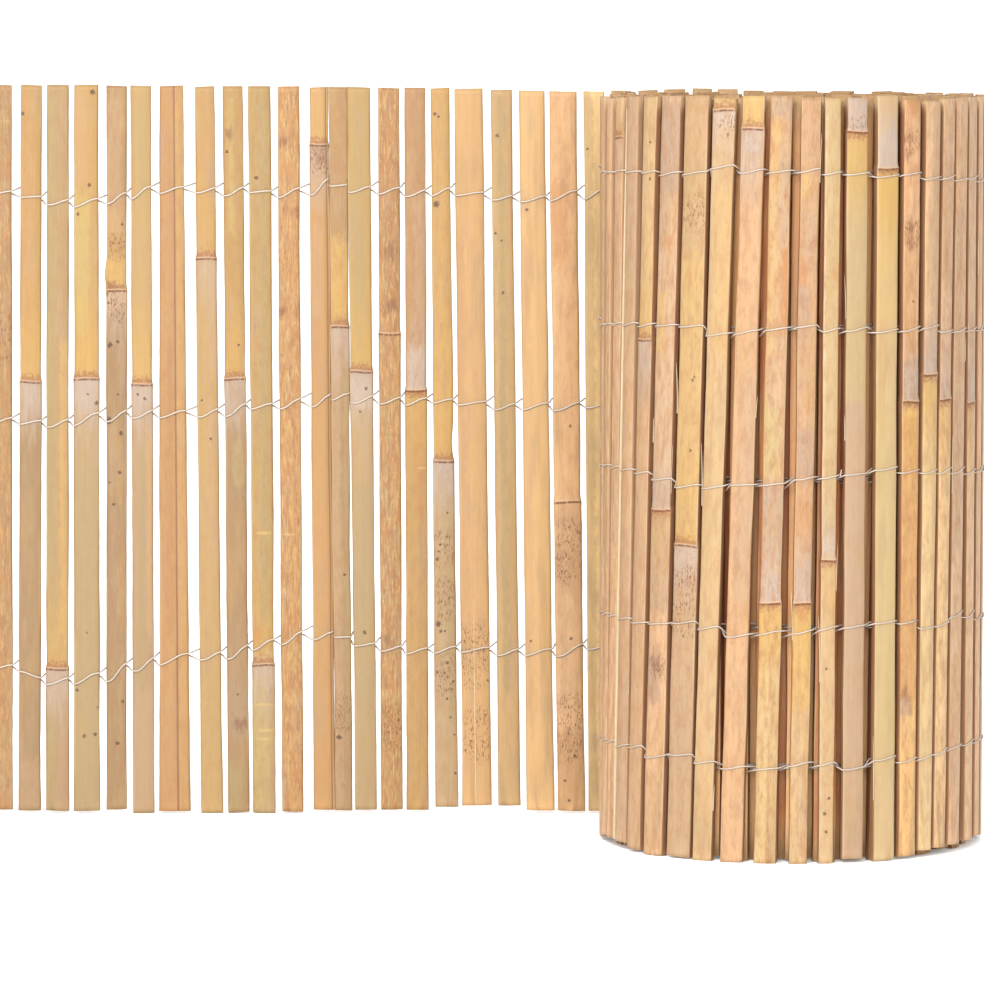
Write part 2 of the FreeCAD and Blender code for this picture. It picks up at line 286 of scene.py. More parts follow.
# Dark spots of mould: slat, place across from -1 to 1, height and radius in mm
RUN_SPOTS = (
    (1, -0.85, 484, 1.4), (3, 0.54, 499, 1.7), (3, 0.29, 435, 1.2), (3, -0.67, 415, 1.1),
    (3, 0.81, 285, 1.4), (3, 0.11, 291, 0.7), (3, -0.78, 86, 1), (3, 0.90, 74, 0.9), (3, -0.19, 54, 1.1),
    (3, 0.68, 55, 1.1), (3, 0.01, 126, 0.7), (4, 0.60, 408, 1), (4, -0.65, 325, 1.8), (4, -0.79, 273, 2.3),
    (4, 0.41, 264, 1.5), (4, 0.32, 237, 1.2), (4, -0.74, 230, 0.8), (4, -0.26, 215, 1), (4, 0.12, 291, 0.8),
    (4, 0.12, 327, 1), (4, -0.9, 360, 1), (4, -0.8, 354, 1), (4, -0.17, 353, 0.8), (4, 0.13, 49, 1.3),
    (4, 0.66, 78, 1), (5, 0.27, 288, 1), (5, -0.39, 291, 0.8), (7, -0.54, 287, 0.8), (7, 0.27, 260, 1),
    (8, -0.61, 458, 1.1), (8, 0.38, 325, 0.9), (8, 0.02, 83, 0.8), (9, -0.35, 440, 1.2), (12, 0.33, 166, 1),
    (12, -0.53, 53, 1.5), (13, 0.02, 126, 1.2), (13, 0.36, 295, 1.1), (13, -0.16, 279, 0.7),
    (16, -0.56, 484, 1.1), (16, -0.16, 482, 0.8), (16, -0.53, 422, 2), (16, 0.32, 209, 0.8),
    (16, -0.35, 187, 1), (16, -0.69, 177, 1.2), (16, -0.52, 182, 0.8), (16, -0.60, 132, 1.8),
    (16, -0.38, 127, 1.1), (16, -0.02, 127, 0.8), (16, 0.18, 105, 1.1), (16, 0.72, 92, 0.9),
    (16, 0.14, 80, 0.8), (16, 0.40, 67, 0.8), (16, 0.74, 55, 0.7), (16, 0.81, 28, 1), (18, -0.44, 469, 1.1),
    (18, -0.73, 402, 1), (18, -0.12, 397, 0.7), (18, -0.07, 361, 1), (19, -0.50, 418, 1.1),
    (19, -0.55, 120, 0.9), (20, 0.13, 122, 1.2), (20, 0.31, 40, 1.2), (20, -0.46, 23, 0.9),
    (20, -0.18, 9, 1), (20, 0.24, 269, 1), (21, -0.68, 460, 0.8),
)
ROLL_SPOTS = (
    (14, 0.29, 315, 0.9), (14, 0.27, 269, 0.9), (14, 0.43, 317, 0.7), (9, -0.27, 33, 1.1),
    (9, -0.01, 21, 0.9), (9, 0.31, 43, 1), (9, -0.15, 128, 0.8), (6, 0.19, 366, 0.8), (16, 0.36, 445, 1),
    (16, 0.27, 469, 0.8),
)

# Soft brown blots, likewise
RUN_BLOTS = (
    (11, -0.1, 454, 7), (10, 0.75, 417, 4), (10, -0.5, 466, 4), (10, -0.5, 348, 5), (14, 0, 390, 8),
    (14, 0.2, 352, 7), (14, -0.2, 120, 5), (8, 0.2, 62, 6), (4, -0.6, 366, 4), (8, -0.4, 470, 5),
)
ROLL_BLOTS = (
    (6, -0.5, 472, 6), (6, -0.5, 462, 5), (6, -0.1, 414, 7), (6, -0.1, 402, 6), (6, -0.6, 108, 6),
    (15, 0, 126, 6),
)

# Orange stains, likewise
ROLL_STAINS = (
    (11, 0.9, 388, 7), (11, 0.8, 372, 8), (11, 0.9, 352, 7), (10, 0, 166, 6), (15, 0.3, 405, 8),
)

# Soft patches of another tone: slat, lowest and highest height in mm, from and to across
# the slat (-1 to 1), tone and strength
RUN_WASHES = (
    (0, 60, 200, -1, 0.2, "rust", 0.5), (1, 320, 500, -1, 0.4, "orange", 0.5),
    (1, 190, 225, -1, 0.5, "ash", 0.7), (1, 0, 40, -1, 1, "mauve", 0.5),
    (2, 110, 500, -1, -0.1, "sage", 0.8), (2, 120, 330, 0.1, 1, "sun", 0.5), (2, 0, 80, -1, 0, "sage", 0.7),
    (3, 430, 500, -1, 0, "flesh", 0.5), (3, 330, 430, -1, 0.3, "lime", 0.6),
    (3, 0, 240, -1, 1, "sage", 0.5), (4, 350, 388, -1, 1, "sun", 0.6), (4, 400, 500, -1, 0.6, "mauve", 0.5),
    (5, 420, 500, -0.3, 0.6, "sage", 0.5), (5, 120, 270, 0.3, 1, "flesh", 0.7),
    (5, 60, 260, -0.4, 0.2, "sage", 0.7), (5, 0, 90, -1, 1, "mauve", 0.6),
    (6, 430, 480, -1, -0.7, "slate", 0.8), (6, 0, 500, 0.3, 1, "gold", 0.6),
    (6, 120, 330, -0.5, 0.1, "scar", 0.3), (7, 425, 455, 0.2, 1, "slate", 0.7),
    (7, 300, 375, 0.1, 1, "mauve", 0.7), (7, 150, 290, -0.2, 0.5, "flesh", 0.6),
    (8, 225, 260, -0.3, 0.8, "sage", 0.9), (8, 50, 90, -1, 1, "slate", 0.5),
    (8, 0, 40, -1, 0.4, "sage", 0.8), (8, 400, 500, -0.6, 0.1, "lime", 0.5),
    (9, 130, 500, -0.1, 0.6, "sage", 0.8), (9, 0, 95, -1, 0.6, "lime", 0.6),
    (9, 118, 132, -1, 0, "ember", 0.8), (9, 96, 112, -1, 1, "frost", 0.6),
    (11, 415, 462, -1, 0.8, "mauve", 0.6), (11, 340, 410, -0.8, 0.3, "flesh", 0.6),
    (12, 0, 330, -1, 0, "mauve", 0.6), (12, 60, 320, 0.3, 1, "sage", 0.7),
    (12, 345, 400, -1, 1, "sun", 0.7), (13, 320, 500, -0.6, 0.2, "sage", 0.5),
    (13, 280, 302, -1, 1, "frost", 0.9), (13, 0, 230, -1, 1, "sage", 0.4),
    (14, 0, 110, -1, 0.8, "amber", 0.6), (14, 200, 330, 0.1, 0.9, "gold", 0.6),
    (15, 294, 325, -1, 1, "frost", 0.7), (15, 330, 430, -0.2, 1, "mauve", 0.6),
    (15, 200, 285, -0.2, 0.7, "ember", 0.3), (16, 250, 340, 0.2, 1, "sun", 0.7),
    (16, 60, 230, 0.1, 1, "sage", 0.5), (17, 100, 400, -1, -0.4, "copper", 0.6),
    (17, 200, 330, 0.2, 0.9, "cream", 0.7), (18, 80, 500, -0.5, 0.2, "sage", 0.7),
    (19, 60, 400, -1, -0.2, "copper", 0.3), (20, 0, 60, -1, 1, "rust", 0.5),
    (20, 380, 440, -1, 0.3, "ember", 0.4), (20, 150, 212, -1, 1, "copper", 0.4),
    (21, 0, 500, -1, 0, "sage", 0.5),
)
ROLL_WASHES = (
    (15, 434, 498, -1, 1, "slate", 0.8), (15, 400, 436, -1, 0.3, "mauve", 0.7),
    (15, 160, 250, -1, 1, "slate", 0.7), (15, 100, 138, -1, 0.5, "slate", 0.8),
    (15, 330, 372, -1, 0.2, "sun", 0.6), (14, 230, 400, -1, 1, "sun", 0.5),
    (14, 455, 490, -1, 1, "flesh", 0.5), (14, 205, 213, -1, 1, "ember", 0.9),
    (14, 192, 204, -1, 1, "frost", 0.9), (14, 60, 110, -0.6, 1, "mauve", 0.6),
    (13, 478, 492, -1, 1, "frost", 0.7), (13, 330, 440, -0.4, 1, "sun", 0.4),
    (12, 458, 477, -1, 1, "slate", 0.8), (12, 428, 460, -1, 0.8, "mauve", 0.7),
    (12, 170, 320, -0.6, 1, "mauve", 0.6), (11, 484, 500, -0.8, 1, "slate", 1),
    (11, 471, 485, -1, 0.4, "sun", 0.8), (11, 446, 466, 0, 1, "slate", 0.7),
    (11, 405, 436, -0.3, 0.9, "mauve", 0.9), (11, 345, 405, 0.3, 1, "ember", 0.7),
    (11, 330, 470, -1, 0, "sun", 0.5), (11, 172, 250, -1, 1, "slate", 0.7),
    (11, 250, 300, -1, 0.6, "lime", 0.6), (11, 130, 168, -1, 1, "sun", 0.5),
    (10, 430, 455, -1, 0.2, "sun", 0.6), (10, 390, 425, -0.4, 0.7, "mauve", 0.8),
    (10, 345, 380, -1, 0.2, "slate", 0.7), (10, 370, 396, -1, 0, "ember", 0.6),
    (10, 250, 285, -1, 1, "slate", 0.7), (10, 212, 240, -1, 1, "ember", 0.4),
    (10, 172, 196, -1, 1, "slate", 0.9), (10, 100, 168, -1, 1, "sun", 0.9),
    (9, 0, 500, -1, -0.72, "pale", 1), (9, 376, 392, 0, 1, "ember", 0.4),
    (9, 203, 218, -1, 1, "frost", 0.8), (8, 480, 500, -1, 1, "slate", 0.9),
    (8, 300, 468, -1, 1, "lime", 0.45), (8, 100, 300, -1, 0.2, "mauve", 0.6),
    (7, 478, 500, -1, 1, "flesh", 0.6), (7, 456, 474, -1, 1, "frost", 1), (7, 350, 444, -1, 1, "sun", 0.4),
    (7, 60, 300, -1, 1, "lime", 0.25), (6, 486, 500, -1, 1, "ember", 0.4),
    (6, 330, 400, -1, 0.6, "orange", 0.6), (6, 296, 330, -1, 1, "slate", 0.9),
    (6, 100, 292, -1, 1, "ember", 0.4), (6, 92, 122, -1, 0.4, "slate", 0.7),
    (5, 330, 500, -0.2, 1, "dun", 0.6), (4, 380, 480, -1, 0.3, "flesh", 0.6),
    (3, 200, 430, -1, 0.4, "mauve", 0.6), (16, 300, 342, -1, 1, "slate", 0.6),
    (17, 380, 500, -1, 1, "mauve", 0.6), (17, 60, 260, -1, 0.3, "copper", 0.5),
    (18, 200, 480, -0.5, 1, "mauve", 0.5), (19, 100, 300, -1, 0.5, "copper", 0.5),
    (20, 200, 450, -1, 0.6, "dun", 0.6),
)

# Patches of freckles: slat, place across, height and radius in mm
RUN_FRECKLES = (
    (20, 0, 192, 12), (20, -0.3, 172, 12), (20, 0.2, 60, 22), (16, -0.2, 184, 12), (16, 0.1, 150, 14),
    (16, 0.3, 96, 14), (11, 0.2, 452, 10), (4, 0, 392, 9), (4, 0.1, 352, 12), (17, 0, 110, 22),
    (17, 0.3, 56, 18), (14, 0, 60, 16), (0, 0.3, 330, 16), (12, -0.2, 70, 12),
)
ROLL_FRECKLES = (
    (14, 0, 184, 10), (14, 0.2, 160, 14), (14, 0.4, 424, 12), (6, -0.2, 470, 8), (6, 0, 410, 9),
    (8, 0, 483, 6), (15, 0.3, 125, 9), (13, 0.5, 480, 7),
)

# Pale scratches across a slat
RUN_SCRATCHES = (
    (9, 0.1, 195, 1.2), (10, -0.2, 194, 0.9), (9, -0.1, 76, 1.2), (9, 0.3, 58, 1.4), (9, 0, 52, 1.1),
    (15, 0.5, 240, 0.9),
)
SCRATCH_STRETCH = 5.0

# Each slat's own place in the grain's noise
JOINING_SEED = 97.0
SEED_STEP = 3.0
RUN_SEED, OUTER_SEED, INNER_SEED = 1.0, 200.0, 400.0

# First numbers for the random draws of each slat, the wires and the splinters
RUN_DRAWS, JOINING_DRAWS, OUTER_DRAWS, INNER_DRAWS = 100, 99, 300, 600
ROLL_WIRE_DRAWS, SPLINTER_DRAWS = 40, 7

# The run's slats whose marks share a material, so that no skin has to look through all of them
RUN_SKINS = {"left": range(0, 8), "middle": range(8, 16), "right": range(16, 22)}

# Marks are drawn this much wider than measured, because their rims fade
MARK_SPREAD = 1.35

# Short tails of wire where two lengths are joined: row from the ground and place along x
ROLL_TAILS = ((5, 712), (5, 685), (5, 841), (3, 841), (3, 917), (2, 842), (1, 862))


def linear(tone, paler=1.0):
    """A tone's colour as the shader takes it, in a light that is brighter than 1."""
    screen = [((c / 255 + 0.055) / 1.055) ** 2.4 for c in TONES[tone]]
    return tuple(paler * c / light for c, light in zip(screen, SLAT_LIGHT))


def tinted(tone, tint, paler=1.0):
    """A slat's tone with its tint."""
    return tuple(a * b for a, b in zip(linear(tone, paler), tint))


def islands(obj):
    """The separate solids of a CAD node, each as an array of its different corners."""
    count = len(obj.data.vertices)
    corners = np.empty(count * 3)
    obj.data.vertices.foreach_get("co", corners)
    corners = corners.reshape(-1, 3)
    _, same = np.unique(np.round(corners, 6), axis=0, return_inverse=True)
    same = same.ravel()
    leader = np.arange(same.max() + 1)

    def find(k):
        while leader[k] != k:
            leader[k] = leader[leader[k]]
            k = leader[k]
        return k

    for face in obj.data.polygons:
        first = find(same[face.vertices[0]])
        for k in face.vertices[1:]:
            leader[find(same[k])] = first
    first_use = np.unique(same, return_index=True)[1]
    groups = {}
    for k in range(len(leader)):
        groups.setdefault(find(k), []).append(corners[first_use[k]])
    return [np.array(group) for group in groups.values()]


class Slat:
    """Place and size of one slat, read from the corners of its CAD solid."""

    def __init__(self, corners):
        z = corners[:, 2]
        self.low, self.high = z.min(), z.max()
        foot = corners[z < self.low + 1e-5]
        head = corners[z > self.high - 1e-5]
        middle = foot[:, :2].mean(0)
        long_way = np.linalg.svd(foot[:, :2] - middle)[2][0]
        outward = np.array([long_way[1], -long_way[0]])
        depth = (foot[:, :2] - middle) @ outward
        if (depth > (depth.min() + depth.max()) / 2).sum() < len(depth) / 2:
            outward = -outward
        # The crowned skin has more corners than the flat back
        self.outward = outward
        self.across = np.array([-outward[1], outward[0]])
        self.foot, self.foot_width, self.thickness, self.crown = self.section(foot)
        self.head, self.head_width = self.section(head)[:2]
        self.knot = None
        self.knot_rise = KNOT_RISE
        between = np.unique(np.round(z[(z > self.low + 1e-4) & (z < self.high - 1e-4)], 6))
        if len(between) >= 3:
            self.knot = between[len(between) // 2]

    def section(self, ring):
        """The middle of the back, the width, the thickness at the edges and the crown of a ring."""
        a = ring[:, :2] @ self.across
        b = ring[:, :2] @ self.outward
        width = a.max() - a.min()
        back = b.min()
        edge = b[(a > a.max() - 1e-5) | (a < a.min() + 1e-5)].max()
        middle = self.across * (a.max() + a.min()) / 2 + self.outward * back
        return middle, width, edge - back, b.max() - edge

    def mark_faint_knot(self, height):
        self.knot = height * MM
        self.knot_rise = KNOT_RISE / 3

    def up(self, z):
        return (z - self.low) / (self.high - self.low)

    def back_at(self, z):
        share = np.asarray(self.up(z))[..., None]
        return self.foot * (1 - share) + self.head * share

    def width_at(self, z):
        share = self.up(z)
        return self.foot_width * (1 - share) + self.head_width * share

    def point(self, a, b, z):
        """The point a along the width from the middle and b out of the back, at height z."""
        flat = self.back_at(z) + self.across * a + self.outward * b
        return np.array([flat[0], flat[1], z])


def waver(rng, z, length, size):
    """A smooth random line along z, with bends about that long and that large."""
    line = np.zeros_like(z)
    for k in range(4):
        turn = 2 * math.pi / (length * rng.uniform(0.5, 1.8))
        line += np.sin(turn * z + rng.uniform(0, 2 * math.pi)) / 2
    return line * size / 2


def profile(skin_points, split):
    """The section's points as share of the half width, part and whether a split lies there."""
    spots = list(np.linspace(-1, 1, skin_points))
    grooves = []
    if split is not None:
        spots = [s for s in spots if abs(s - split) > LEAST_STEP] + [split]
        grooves = [split]
    skin = [(s, "skin", s in grooves) for s in sorted(spots)]
    right = [(1, "side", False)] * 2
    back = [(s, "back", False) for s in np.linspace(1, -1, max(skin_points // 2, 4))]
    left = [(-1, "side", False)] * 2
    return skin + right + back + left


def tone_along(slat, z, tone, inner_shaded):
    """A slat's tone at each height, with painted light at its foot and paler towards the ground. On the
    inner turns the dark tone is painted shade, which gives way to painted light near the ends.
    """
    depth = np.ones_like(z)
    if inner_shaded:
        depth = np.clip(np.minimum(z - slat.low, slat.high - z) / SHADE_END_FADE, 0, 1)
    tones = depth[:, None] * np.array(tone) + (1 - depth[:, None]) * np.array(linear("apricot"))
    foot_light = 1 + FOOT_PAINTED_LIGHT * np.exp(-(z - slat.low) / FOOT_PAINTED_LIGHT_LENGTH)
    return tones * (foot_light * (1 + GROUND_PAINTED_LIGHT - PAINTED_LIGHT_FALL * z))[:, None]


def wash_grid(slat_washes, tint, share, z):
    """The tone of a slat's washes at its points, how far each lies inside one, and the wash's strength."""
    tones = np.zeros((len(z), 3))
    cover = np.zeros(len(z))
    strength = np.zeros(len(z))
    for _, low, high, start, end, tone, force in slat_washes:
        along = np.minimum(z - low * MM, high * MM - z) / WASH_EDGE + 0.5
        # A wash that reaches the slat's edge doesn't fade there
        start, end = (s if abs(s) < 1 else 2 * s for s in (start, end))
        over = np.minimum(share - start, end - share) / WASH_FADE + 0.5
        inside = np.clip(along, 0, 1) * np.clip(over, 0, 1)
        stronger = inside > cover
        tones[stronger] = tinted(tone, tint)
        strength[stronger] = force
        cover = np.maximum(cover, inside)
    return tones, cover, strength


def edge_nicks(number, side, z, nicks):
    """How far a slat's edge is cut in at each height, or bulges out where negative."""
    cut = np.zeros_like(z)
    for slat, nick_side, height, depth, half_length in nicks:
        if slat == number and nick_side == side:
            cut += depth * MM * np.exp(-((z - height * MM) / (half_length * MM)) ** 2)
    return cut


def slat_mesh(
    slat, look, rng, rows, skin_points, seed, tint=ROLL_TINT, paler=1.0, number=None,
    split=None, nicks=(), washes=(), depth=0.0,
):
    """Points, faces, face parts and point values of one detailed slat.

    The depth is 0 on the run, up to 1 on the roll's outer turn and 2 on its inner turns; it sets how much
    painted shade the slat's sides get, and on the inner turns its skin.
    """
    upper, lower, bloom, mottle, specks = look
    z = np.linspace(slat.low, slat.high, rows)
    if slat.knot is not None:
        near = slat.knot + np.linspace(-4, 4, 13) * MM
        z = np.unique(np.concatenate([z[abs(z - slat.knot) > 4.2 * MM], near]))
    rows = len(z)
    half = slat.width_at(z) / 2
    left = half - EDGE_ROUND * 0.3 + waver(rng, z, 0.12, EDGE_WAVER) + waver(rng, z, 0.012, EDGE_WAVER / 5)
    right = half - EDGE_ROUND * 0.3 + waver(rng, z, 0.12, EDGE_WAVER) + waver(rng, z, 0.015, EDGE_WAVER / 5)
    left = left - edge_nicks(number, -1, z, nicks)
    right = right - edge_nicks(number, 1, z, nicks)
    bow = waver(rng, z, 0.3, EDGE_WAVER / 2)
    rise = waver(rng, z, 0.2, 0.1 * MM)
    tilt = rng.uniform(-KNOT_TILT, KNOT_TILT)
    wave_phase = rng.uniform(0, 2 * math.pi)
    if slat.knot is not None:
        distance = z - slat.knot
        swell = np.exp(-(distance / KNOT_SPREAD) ** 2)
        ridge = np.exp(-(distance / KNOT_RIDGE) ** 2)
        groove = np.exp(-((distance - KNOT_GROOVE_UP) / KNOT_GROOVE_WIDTH) ** 2)
        rise = rise + slat.knot_rise * (0.6 * swell + 0.4 * ridge) - KNOT_GROOVE * groove
        step = np.where(distance > 0, -KNOT_STEP, KNOT_STEP) * (1 - np.exp(-abs(distance) / STEP_START))
        wider = KNOT_BULGE * swell + step * np.exp(-abs(distance) / STEP_END)
        left, right = left + wider, right + wider
    outline = profile(skin_points, split)
    count = len(outline)
    points = np.empty((rows, count, 3))
    width_share = np.empty((rows, count))
    knot_distance = np.full((rows, count), NO_KNOT)
    grooved = np.zeros((rows, count))
    seen_sides = 0
    for k, (share, part, is_split) in enumerate(outline):
        a = share * np.where(share > 0, right, left)
        if part == "skin":
            b = slat.thickness + slat.crown * (1 - share ** 2) + rise + waver(rng, z, 0.15, 0.012 * MM)
            if abs(share) == 1:
                a = a - math.copysign(EDGE_ROUND * 0.55, share)
                b = b - 0.05 * MM
            if is_split:
                b = b - SPLIT_DEPTH
                grooved[:, k] = 1
        elif part == "side":
            level = slat.thickness * SIDE_LEVELS[seen_sides]
            seen_sides += 1
            b = np.full(rows, level) + waver(rng, z, 0.02, SIDE_ROUGHNESS)
            a = a + math.copysign(0.05 * MM, share) + waver(rng, z, 0.03, 0.06 * MM)
        else:
            b = abs(waver(rng, z, 0.05, SIDE_ROUGHNESS))
            if abs(share) == 1:
                a = a - math.copysign(EDGE_ROUND * 0.6, share)
        points[:, k, :2] = slat.back_at(z) + np.outer(a + bow, slat.across) + np.outer(b, slat.outward)
        points[:, k, 2] = z
        width_share[:, k] = share
        if slat.knot is not None:
            line = slat.knot + tilt * a + KNOT_WAVE * math.sin(2.6 * share + wave_phase)
            knot_distance[:, k] = z - line
    # The ends are cut at a slant, always within the solid
    for row, sign in ((-1, -1), (0, 1)):
        slant = rng.uniform(-END_SLANT, END_SLANT)
        chips = abs(rng.normal(0, END_CHIPS, count))
        points[row, :, 2] += sign * (abs(slant) / 2 + slant / 2 * width_share[row] + chips)
    flat = points.reshape(-1, 3)
    parts = [part for _, part, _ in outline]
    quads, quad_parts = [], []
    for row in range(rows - 1):
        for k in range(count):
            n = (k + 1) % count
            here, above = row * count, (row + 1) * count
            quads.append((here + k, here + n, above + n, above + k))
            quad_parts.append(0 if parts[k] == "skin" and parts[n] == "skin" else 1)
    quads.append(tuple(reversed(range(count))))
    quads.append(tuple((rows - 1) * count + k for k in range(count)))
    quad_parts += [2, 2]
    half_grid = np.repeat(half, count)
    across, height = width_share.ravel(), flat[:, 2]
    placed = [wash for wash in washes if wash[0] == number]
    wash_tones, cover, strength = wash_grid(placed, tint, across, height)
    # Painted shade in the roll: full on the sides from the outer turn on, and on the inner turns' skins
    # away from their ends, where it gives way to painted light
    from_end = np.clip(np.minimum(height - slat.low, slat.high - height) / SHADE_END_FADE, 0, 1)
    turn_depth = np.minimum(depth, 1) + max(depth - 1, 0) * from_end
    ones = np.ones(len(flat))
    values = {
        "grain": np.column_stack([across * half_grid, ones * seed, height]),
        "upper": tone_along(slat, height, tinted(upper, tint, paler), depth > 1),
        "lower": tone_along(slat, height, tinted(lower, tint, paler), depth > 1),
        "marks": np.column_stack([ones * mottle, ones * specks, grooved.ravel()]),
        "wash": wash_tones,
        "cover": np.column_stack([cover, strength, turn_depth]),
        "knot": np.column_stack([knot_distance.ravel(), ones * bloom, across]),
    }
    return flat, quads, quad_parts, values


def slat_marks(slats, seed, marks):
    """Marks given by slat, place across, height and radius in mm, as points on the grain."""
    found = []
    for number, share, height, radius in marks:
        z = height * MM
        place = (share * slats[number].width_at(z) / 2, seed + SEED_STEP * number, z)
        found.append((place, MARK_SPREAD * radius * MM))
    return found


def add_piece(name, points, faces, materials, slot):
    """One mesh object on the part's only body."""
    mesh = bpy.data.meshes.new(name)
    mesh.from_pydata(points.tolist(), [], faces)
    for material in materials:
        mesh.materials.append(material)
    mesh.update()
    obj = bpy.data.objects.new(name, mesh)
    bpy.context.scene.collection.objects.link(obj)
    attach(obj, "root")
    return obj


def joined(made):
    """The points and faces of several meshes as those of one."""
    points, faces, start = [], [], 0
    for flat, quads in made:
        points.append(flat)
        faces += [tuple(int(k) + start for k in face) for face in quads]
        start += len(flat)
    return np.concatenate(points), faces


def build(name, made, materials, node):
    """One mesh object from several slats' points, faces and values."""
    obj = add_piece(name, *joined([m[:2] for m in made]), materials, "bamboo")
    mesh = obj.data
    parts = np.concatenate([m[2] for m in made])
    for key in made[0][3]:
        attribute = mesh.attributes.new(key, "FLOAT_VECTOR", "POINT")
        values = np.concatenate([m[3][key] for m in made]).astype(np.float32)
        attribute.data.foreach_set("vector", values.ravel())
    mesh.polygons.foreach_set("material_index", parts.astype(np.int32))
    mesh.polygons.foreach_set("use_smooth", parts == 0)
    mesh.update()
    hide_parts(node)


class Nodes:
    """Short calls for building a shader, which keep its colour so far as colour."""

    def __init__(self, name):
        self.material = bpy.data.materials.new(name)
        self.material.use_nodes = True
        self.tree = self.material.node_tree
        self.shader = self.tree.nodes["Principled BSDF"]
        self.colour = None

    def put(self, socket, value):
        """Link a socket to another one, or set it to a number or a colour."""
        if isinstance(value, bpy.types.NodeSocket):
            self.tree.links.new(value, socket)
        elif isinstance(value, (int, float)):
            socket.default_value = value
        else:
            socket.default_value = (*value, 1.0)

    def attribute(self, name):
        node = self.tree.nodes.new("ShaderNodeAttribute")
        node.attribute_name = name
        return node.outputs["Vector"]

    def place(self):
        return self.tree.nodes.new("ShaderNodeTexCoord").outputs["Object"]

    def split(self, vector):
        node = self.tree.nodes.new("ShaderNodeSeparateXYZ")
        self.put(node.inputs[0], vector)
        return node.outputs

    def stretched(self, vector, scale):
        node = self.tree.nodes.new("ShaderNodeMapping")
        self.put(node.inputs["Vector"], vector)
        node.inputs["Scale"].default_value = scale
        return node.outputs[0]

    def noise(self, vector, scale, detail=3.0, roughness=0.55):
        node = self.tree.nodes.new("ShaderNodeTexNoise")
        self.put(node.inputs["Vector"], self.stretched(vector, scale))
        for name, value in (("Scale", 1.0), ("Detail", detail), ("Roughness", roughness)):
            node.inputs[name].default_value = value
        return node.outputs["Fac"]

    def cells(self, vector, scale):
        node = self.tree.nodes.new("ShaderNodeTexVoronoi")
        self.put(node.inputs["Vector"], self.stretched(vector, scale))
        node.inputs["Scale"].default_value = 1.0
        return node.outputs["Distance"]

    def fade(self, value, start, end, low=0.0, high=1.0):
        """A smooth step of a value, from low at its start to high at its end."""
        node = self.tree.nodes.new("ShaderNodeMapRange")
        node.interpolation_type = "SMOOTHSTEP"
        numbers = (value, start, end, low, high)
        for name, number in zip(("Value", "From Min", "From Max", "To Min", "To Max"), numbers):
            self.put(node.inputs[name], number)
        return node.outputs[0]

    def veil(self, vector, scale, detail, start, end, low=0.0, high=1.0, roughness=0.55):
        """Noise that fades from low to high between two of its values."""
        return self.fade(self.noise(vector, scale, detail, roughness), start, end, low, high)

    def maths(self, operation, *values):
        node = self.tree.nodes.new("ShaderNodeMath")
        node.operation = operation
        for socket, value in zip(node.inputs, values):
            self.put(socket, value)
        return node.outputs[0]

    def times(self, first, *others):
        for other in others:
            first = self.maths("MULTIPLY", first, other)
        return first

    def depth_in(self, vector, marks):
        """How deep a point lies in the nearest of some round marks: 1 in its middle, 0 at its rim."""
        deepest = None
        for place, radius in marks:
            node = self.tree.nodes.new("ShaderNodeVectorMath")
            node.operation = "DISTANCE"
            self.put(node.inputs[0], vector)
            node.inputs[1].default_value = place
            depth = self.maths("MULTIPLY_ADD", node.outputs["Value"], -1 / radius, 1.0)
            deepest = depth if deepest is None else self.maths("MAXIMUM", deepest, depth)
        return deepest

    def mix(self, share, first, second, blend="MIX"):
        node = self.tree.nodes.new("ShaderNodeMix")
        node.data_type = "RGBA"
        node.blend_type = blend
        for index, value in ((0, share), (6, first), (7, second)):
            self.put(node.inputs[index], value)
        return node.outputs[2]

    def paint(self, share, tone):
        """Lay a tone over the colour so far."""
        self.colour = self.mix(share, self.colour, linear(tone))

    def tint(self, share, factor):
        """Multiply the colour so far by a factor in each channel."""
        self.colour = self.mix(share, self.colour, factor, "MULTIPLY")

    def bump(self, height, distance, strength=1.0):
        node = self.tree.nodes.new("ShaderNodeBump")
        node.inputs["Distance"].default_value = distance
        node.inputs["Strength"].default_value = strength
        self.put(node.inputs["Height"], height)
        self.put(self.shader.inputs["Normal"], node.outputs[0])

    def finish(self, roughness, specular=0.5):
        """Give the shader the colour so far and its gloss."""
        self.put(self.shader.inputs["Base Color"], self.colour)
        self.put(self.shader.inputs["Roughness"], roughness)
        self.shader.inputs["Specular IOR Level"].default_value = specular
        return self.material


